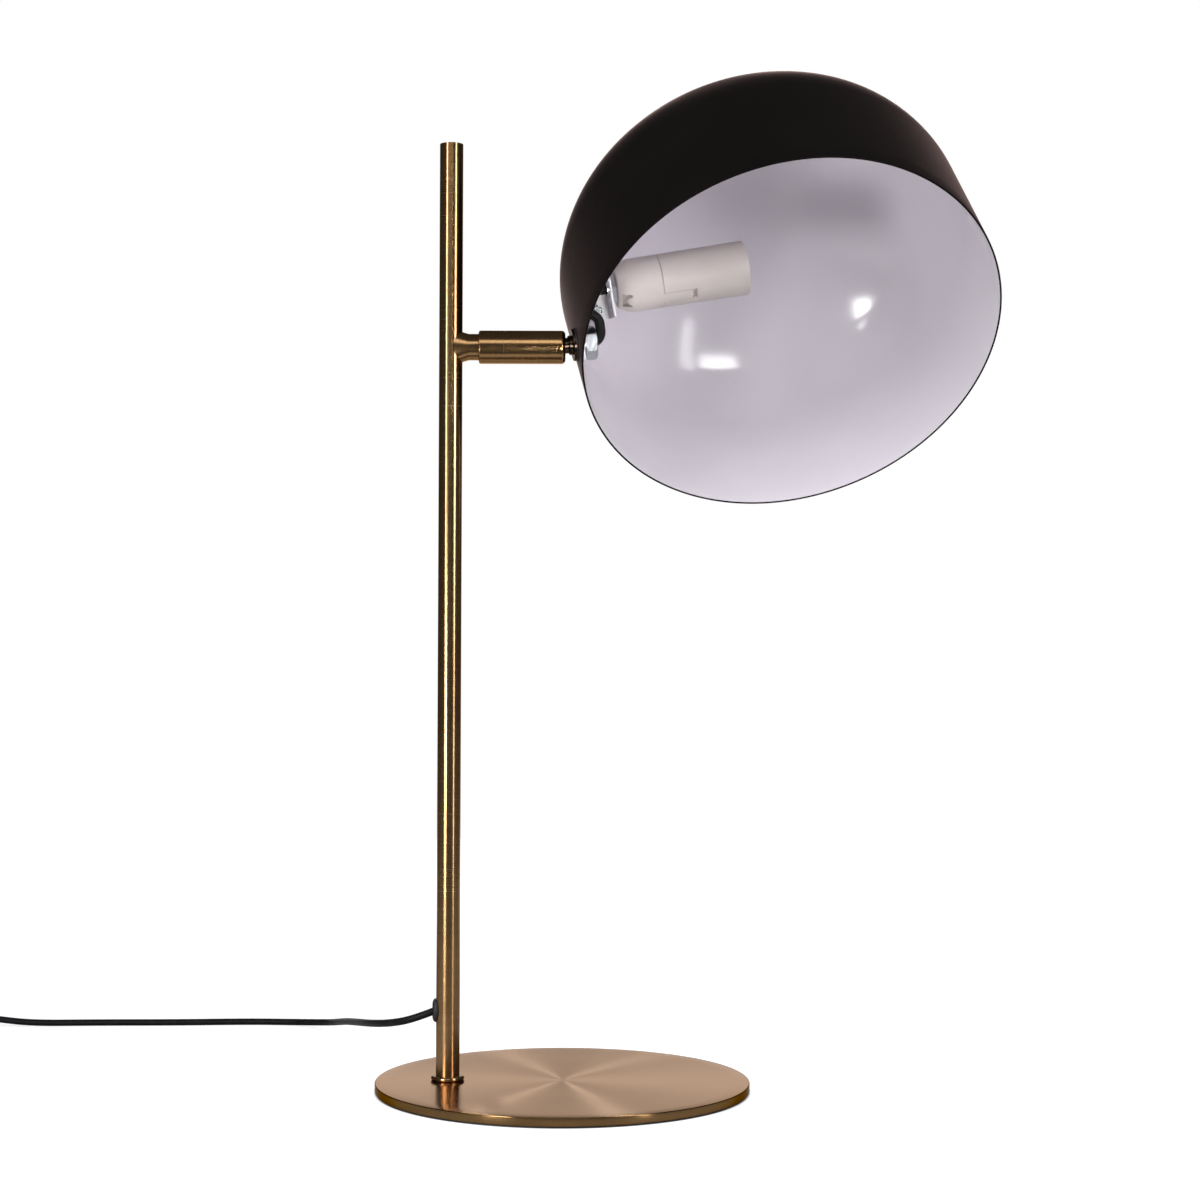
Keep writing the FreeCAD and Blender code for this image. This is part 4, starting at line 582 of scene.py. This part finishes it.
def foot_disc():
    """The foot, its turned face in one finish and its edge and underside in the same brass
    coloured darker, which is painted shade.
    """
    centre = DISC.radius - DISC.edge
    outline = [(0, DISC.low)]
    outline += arc((centre, DISC.low + DISC.edge), DISC.edge, -90, 0, DISC.edge_steps)
    outline += arc((centre, DISC.high - DISC.edge), DISC.edge, 0, 90, DISC.edge_steps)
    edge_runs = len(outline) - 1
    outline += [(radius, DISC.high) for radius in DISC.rings]
    faces = [1 if i < edge_runs else 0 for i in range(len(outline))]
    shape = turned(outline, evenly(DISC.rounds), faces)
    return finished("foot_disc", shape, ORIGIN, [looks["disc"], looks["disc_edge"]],
                    "stand", "base_plate")


foot_disc()


# ---------------------------------------------------------------- shade

SHELL = SimpleNamespace(rim=110.5, skirt=66.0, shoulder=50.0, crown=138.255, wall=1.0,
                        crown_centre=1.745, shoulder_centre=60.5, skirt_steps=6,
                        shoulder_steps=18, crown_steps=22, rim_steps=8, rounds=192)


def shade_outline(inset):
    """Half of the shade's section from its rim to its top, moved inwards by the inset."""
    join = math.degrees(math.atan2(SHELL.skirt - SHELL.crown_centre, SHELL.shoulder_centre))
    points = [(SHELL.rim - inset, SHELL.skirt * i / SHELL.skirt_steps)
              for i in range(1, SHELL.skirt_steps)]
    points += arc((SHELL.shoulder_centre, SHELL.skirt), SHELL.shoulder - inset, 0, join,
                  SHELL.shoulder_steps)
    points += arc((0, SHELL.crown_centre), SHELL.crown - inset, join, 90, SHELL.crown_steps)[1:]
    points[-1] = (0.0, points[-1][1])
    return points


def shade():
    """The shell with its rolled rim: black outside, white inside."""
    outside = shade_outline(0)
    inside = shade_outline(SHELL.wall)[::-1]
    rim = arc((SHELL.rim - SHELL.wall / 2, SHELL.wall / 2), SHELL.wall / 2, -180, 0,
              SHELL.rim_steps)
    outline = rim + outside + inside
    black_runs = len(rim) + len(outside) - 1
    faces = [0 if i < black_runs else 1 for i in range(len(outline))]
    shape = turned(outline, evenly(SHELL.rounds), faces)
    return finished("shade", shape, SHADE_AXIS, [looks["shade_black"], looks["shade_white"]],
                    "shade", "shade_shell")


shade()


# ---------------------------------------------------------------- lamp holder's skirt

SKIRT = SimpleNamespace(
    start=25.62, end=71.2, thin=13.7, wide=14.0, wall=1.6,
    lip=0.1, seam=0.27, groove=0.9, groove_share=0.6, window_share=0.35,
    tab_end=41.0, tab_half=13.0, tab_middle=-87.5, window_end=43.3,
    edge=0.4, edge_side=0.12, edge_top=0.1,
    tab_rings=(28, 33, 37), plain_rings=(48, 54, 60, 66), column_step=4, column_room=0.5)


def sunk(shape, chosen, depth):
    """Sinks the chosen faces towards the z axis by a depth, with walls round them, and
    gives the sunk faces."""
    made = bmesh.ops.extrude_face_region(shape, geom=chosen)["geom"]
    for corner in [part for part in made if isinstance(part, bmesh.types.BMVert)]:
        corner.co -= Vector((*corner.co.xy, 0)).normalized() * depth
    bmesh.ops.delete(shape, geom=[face for face in chosen if face.is_valid], context="FACES")
    return [part for part in made if isinstance(part, bmesh.types.BMFace)]


def lamp_skirt():
    """The skirt with the snap tab of the dome in it and the window beyond the tab. The
    holder's axis is x, and the shape is turned about z first."""
    slope = (SKIRT.wide - SKIRT.thin) / (SKIRT.end - SKIRT.start)
    seam_start = SKIRT.start + SKIRT.lip
    seam_end = seam_start + SKIRT.seam
    tab_gap = SKIRT.tab_end - SKIRT.seam
    heights = [SKIRT.start, seam_start, seam_end, *SKIRT.tab_rings, tab_gap, SKIRT.tab_end,
               SKIRT.window_end, *SKIRT.plain_rings, SKIRT.end - SKIRT.edge]
    outline = [(SKIRT.thin + slope * (height - SKIRT.start), height) for height in heights]
    outline += [(SKIRT.wide - SKIRT.edge_side, SKIRT.end - SKIRT.edge_top),
                (SKIRT.wide - SKIRT.edge, SKIRT.end), (SKIRT.wide - SKIRT.wall, SKIRT.end),
                (SKIRT.thin - SKIRT.wall, SKIRT.start)]
    first, last = SKIRT.tab_middle - SKIRT.tab_half, SKIRT.tab_middle + SKIRT.tab_half
    edges = [first, first + SKIRT.groove, last - SKIRT.groove, last]
    columns = [degrees for degrees in range(-180, 180, SKIRT.column_step)
               if min(abs(degrees - edge) for edge in edges) > SKIRT.column_room]
    shape = turned(outline, [math.radians(degrees) for degrees in sorted(edges + columns)])

    def is_sunk(face):
        middle = face.calc_center_median()
        height, degrees = middle.z, math.degrees(math.atan2(middle.y, middle.x))
        if middle.xy.length < SKIRT.thin - SKIRT.wall / 2:
            return False
        if not first < degrees < last:
            return seam_start < height < seam_end
        at_side = not edges[1] < degrees < edges[2]
        return (at_side and seam_start < height < SKIRT.tab_end) \
            or tab_gap < height < SKIRT.window_end

    low = sunk(shape, [face for face in shape.faces if is_sunk(face)],
               SKIRT.wall * SKIRT.groove_share)
    window = [face for face in low if face.calc_center_median().z > SKIRT.tab_end]
    sunk(shape, window, SKIRT.wall * SKIRT.window_share)
    return finished("lamp_skirt", shape, HOLDER @ ALONG_X @ turn(90, "Z"), [looks["ivory"]],
                    "shade", "holder_skirt")


lamp_skirt()


# ---------------------------------------------------------------- grommet on the post

GROMMET = SimpleNamespace(height=40.2, tall=6.1, wide=4.6, hole=2.1, post=6.08, thick=1.85,
                          fullness=3, steps=10, rounds=64)


def grommet_ring(shape, share, dome):
    """One oval ring between the hole and the outer edge, bent round the post's axis."""
    across = GROMMET.hole + (GROMMET.wide - GROMMET.hole) * share
    up = GROMMET.hole + (GROMMET.tall - GROMMET.hole) * share
    out = GROMMET.post + dome
    ring = []
    for angle in evenly(GROMMET.rounds):
        bent = across * math.cos(angle) / (GROMMET.post + GROMMET.thick / 2)
        ring.append(shape.verts.new((-out * math.cos(bent), out * math.sin(bent),
                                     GROMMET.height + up * math.sin(angle))))
    return ring


def post_grommet():
    """A domed oval of rubber that is bent round the post, with the lead's hole in it."""
    shape = bmesh.new()
    shares = [step / GROMMET.steps for step in range(GROMMET.steps + 1)]
    rings = [grommet_ring(shape, share, GROMMET.thick * math.sqrt(1 - share ** GROMMET.fullness))
             for share in shares]
    rings += [grommet_ring(shape, share, 0.0) for share in shares[-2::-1]]
    return finished("post_grommet", skinned(shape, rings), POST, [looks["rubber"]],
                    "stand", "cord_grommet")


grommet = post_grommet()


# ---------------------------------------------------------------- strain reliefs of the switch

RELIEF = SimpleNamespace(length=20, root=4.45, tip=2.75, rings=7, ring_round=0.8,
                         core_share=0.86, sides=40, ring_sides=10, sharp_edge=40)


def relief_tree():
    """A tapered core with rings along it: the node group that makes a strain relief."""
    tree = bpy.data.node_groups.new("ribbed_relief", "GeometryNodeTree")
    tree.interface.new_socket("Geometry", in_out="OUTPUT", socket_type="NodeSocketGeometry")
    sizes = {}
    for name, kind in (("Length", "Float"), ("Root", "Float"), ("Tip", "Float"),
                       ("Rings", "Int"), ("Ring Round", "Float"), ("Finish", "Material")):
        sizes[name] = tree.interface.new_socket(
            name, in_out="INPUT", socket_type="NodeSocket" + kind)

    def node(kind, settings=None, inputs=None):
        made = tree.nodes.new(kind)
        for key, value in (settings or {}).items():
            setattr(made, key, value)
        for key, value in (inputs or {}).items():
            for one in value if isinstance(value, list) else [value]:
                if isinstance(one, bpy.types.NodeSocket):
                    tree.links.new(one, made.inputs[key])
                else:
                    made.inputs[key].default_value = one
        return made.outputs

    def maths(operation, first, second):
        return node("ShaderNodeMath", {"operation": operation}, {0: first, 1: second})[0]

    def circle(sides, radius):
        return node("GeometryNodeCurvePrimitiveCircle", {"mode": "RADIUS"}, {
            "Resolution": sides, "Radius": radius})["Curve"]

    given = node("NodeGroupInput")
    length, root, tip, count = (given[name] for name in ("Length", "Root", "Tip", "Rings"))
    core = node("GeometryNodeMeshCone", None, {
        "Vertices": RELIEF.sides, "Side Segments": 1, "Fill Segments": 1,
        "Radius Top": maths("MULTIPLY", tip, RELIEF.core_share),
        "Radius Bottom": maths("MULTIPLY", root, RELIEF.core_share), "Depth": length})["Mesh"]
    ring = node("GeometryNodeCurveToMesh", None, {
        "Curve": circle(RELIEF.sides, maths("SUBTRACT", root, given["Ring Round"])),
        "Profile Curve": circle(RELIEF.ring_sides, given["Ring Round"])})["Mesh"]
    step = maths("DIVIDE", length, maths("ADD", count, 1))
    offset = node("ShaderNodeCombineXYZ", None, {"Z": step})[0]
    line = node("GeometryNodeMeshLine", {"mode": "OFFSET"}, {
        "Count": count, "Start Location": offset, "Offset": offset})["Mesh"]
    place = node("GeometryNodeInputPosition")[0]
    share = maths("DIVIDE", node("ShaderNodeSeparateXYZ", None, {0: place})["Z"], length)
    taper = maths("SUBTRACT", 1, maths("DIVIDE", tip, root))
    narrow = maths("SUBTRACT", 1, maths("MULTIPLY", share, taper))
    grown = node("ShaderNodeCombineXYZ", None, {"X": narrow, "Y": narrow, "Z": 1.0})[0]
    rings = node("GeometryNodeInstanceOnPoints", None, {
        "Points": line, "Instance": ring, "Scale": grown})["Instances"]
    both = node("GeometryNodeJoinGeometry", None, {"Geometry": [core, rings]})["Geometry"]
    real = node("GeometryNodeRealizeInstances", None, {"Geometry": both})["Geometry"]
    coloured = node("GeometryNodeSetMaterial", None, {
        "Geometry": real, "Material": given["Finish"]})["Geometry"]
    node("NodeGroupOutput", None, {"Geometry": coloured})
    return tree, {name: socket.identifier for name, socket in sizes.items()}


RELIEF_TREE, RELIEF_INPUTS = relief_tree()


def relief(name, place, stands_for):
    """One strain relief, tapering away from the switch along its z axis."""
    blank = placed(name + "_blank", bpy.data.meshes.new(name + "_blank"))
    rule = blank.modifiers.new("rule", "NODES")
    rule.node_group = RELIEF_TREE
    given = {"Length": RELIEF.length * MM, "Root": RELIEF.root * MM, "Tip": RELIEF.tip * MM,
             "Rings": RELIEF.rings, "Ring Round": RELIEF.ring_round * MM,
             "Finish": looks["rubber"]}
    for key, value in given.items():
        rule[RELIEF_INPUTS[key]] = value
    ready = bpy.context.evaluated_depsgraph_get()
    mesh = bpy.data.meshes.new_from_object(blank.evaluated_get(ready))
    bpy.data.objects.remove(blank)
    mesh.transform(place)
    mesh.shade_smooth()
    mesh.set_sharp_from_angle(angle=math.radians(RELIEF.sharp_edge))
    made = placed(name, mesh)
    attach(made, "stand")
    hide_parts(stands_for)
    return made


relief_in = relief("relief_to_lamp", shift(*SWITCH_IN) @ ALONG_X, "switch_relief_in")
relief_out = relief("relief_to_plug", shift(*SWITCH_OUT) @ turn(-90, "Y"), "switch_relief_out")


# ---------------------------------------------------------------- finishes on the CAD nodes

NODE_LOOKS = {
    "post": ["post_tube", "post_cap", "foot_ring", "foot_insert"],
    "arm": ["arm_neck", "swivel_collar", "swivel_barrel"],
    "flange": ["shade_flange", "ball_stem"],
    "rubber": ["base_pad", "flange_gasket"],
    "black_plastic": ["switch_lower", "switch_upper", "plug_body", "pin_sleeves"],
    "rocker": ["switch_rocker"],
    "bearing": ["barrel_bush", "thrust_cup", "friction_washer"],
    "ivory": ["holder_dome"],
    "carrier": ["contact_carrier"],
    "white_steel": ["lamp_bracket"],
    "sleeve": ["lamp_lead"],
    "lead": ["post_lead", "barrel_lead", "stem_lead"],
    "plated": ["plug_pins"],
    "zinc": ["stem_nut", "holder_nut", "earth_screw", "holder_nipple", "base_screw",
             "switch_screws", "lock_washer", "stop_pin", "spacer_sleeve", "terminal_screws"],
    "spring": ["spring_washer", "disc_springs", "retaining_ring"],
    "plain_brass": ["side_contact", "centre_contact"],
}
for look, names in NODE_LOOKS.items():
    for name in names:
        node = cad_node[name]
        if not node.material_slots:
            node.data.materials.append(looks[look])
        for held in node.material_slots:
            held.material = looks[look]

bpy.context.scene.view_settings.view_transform = "Standard"
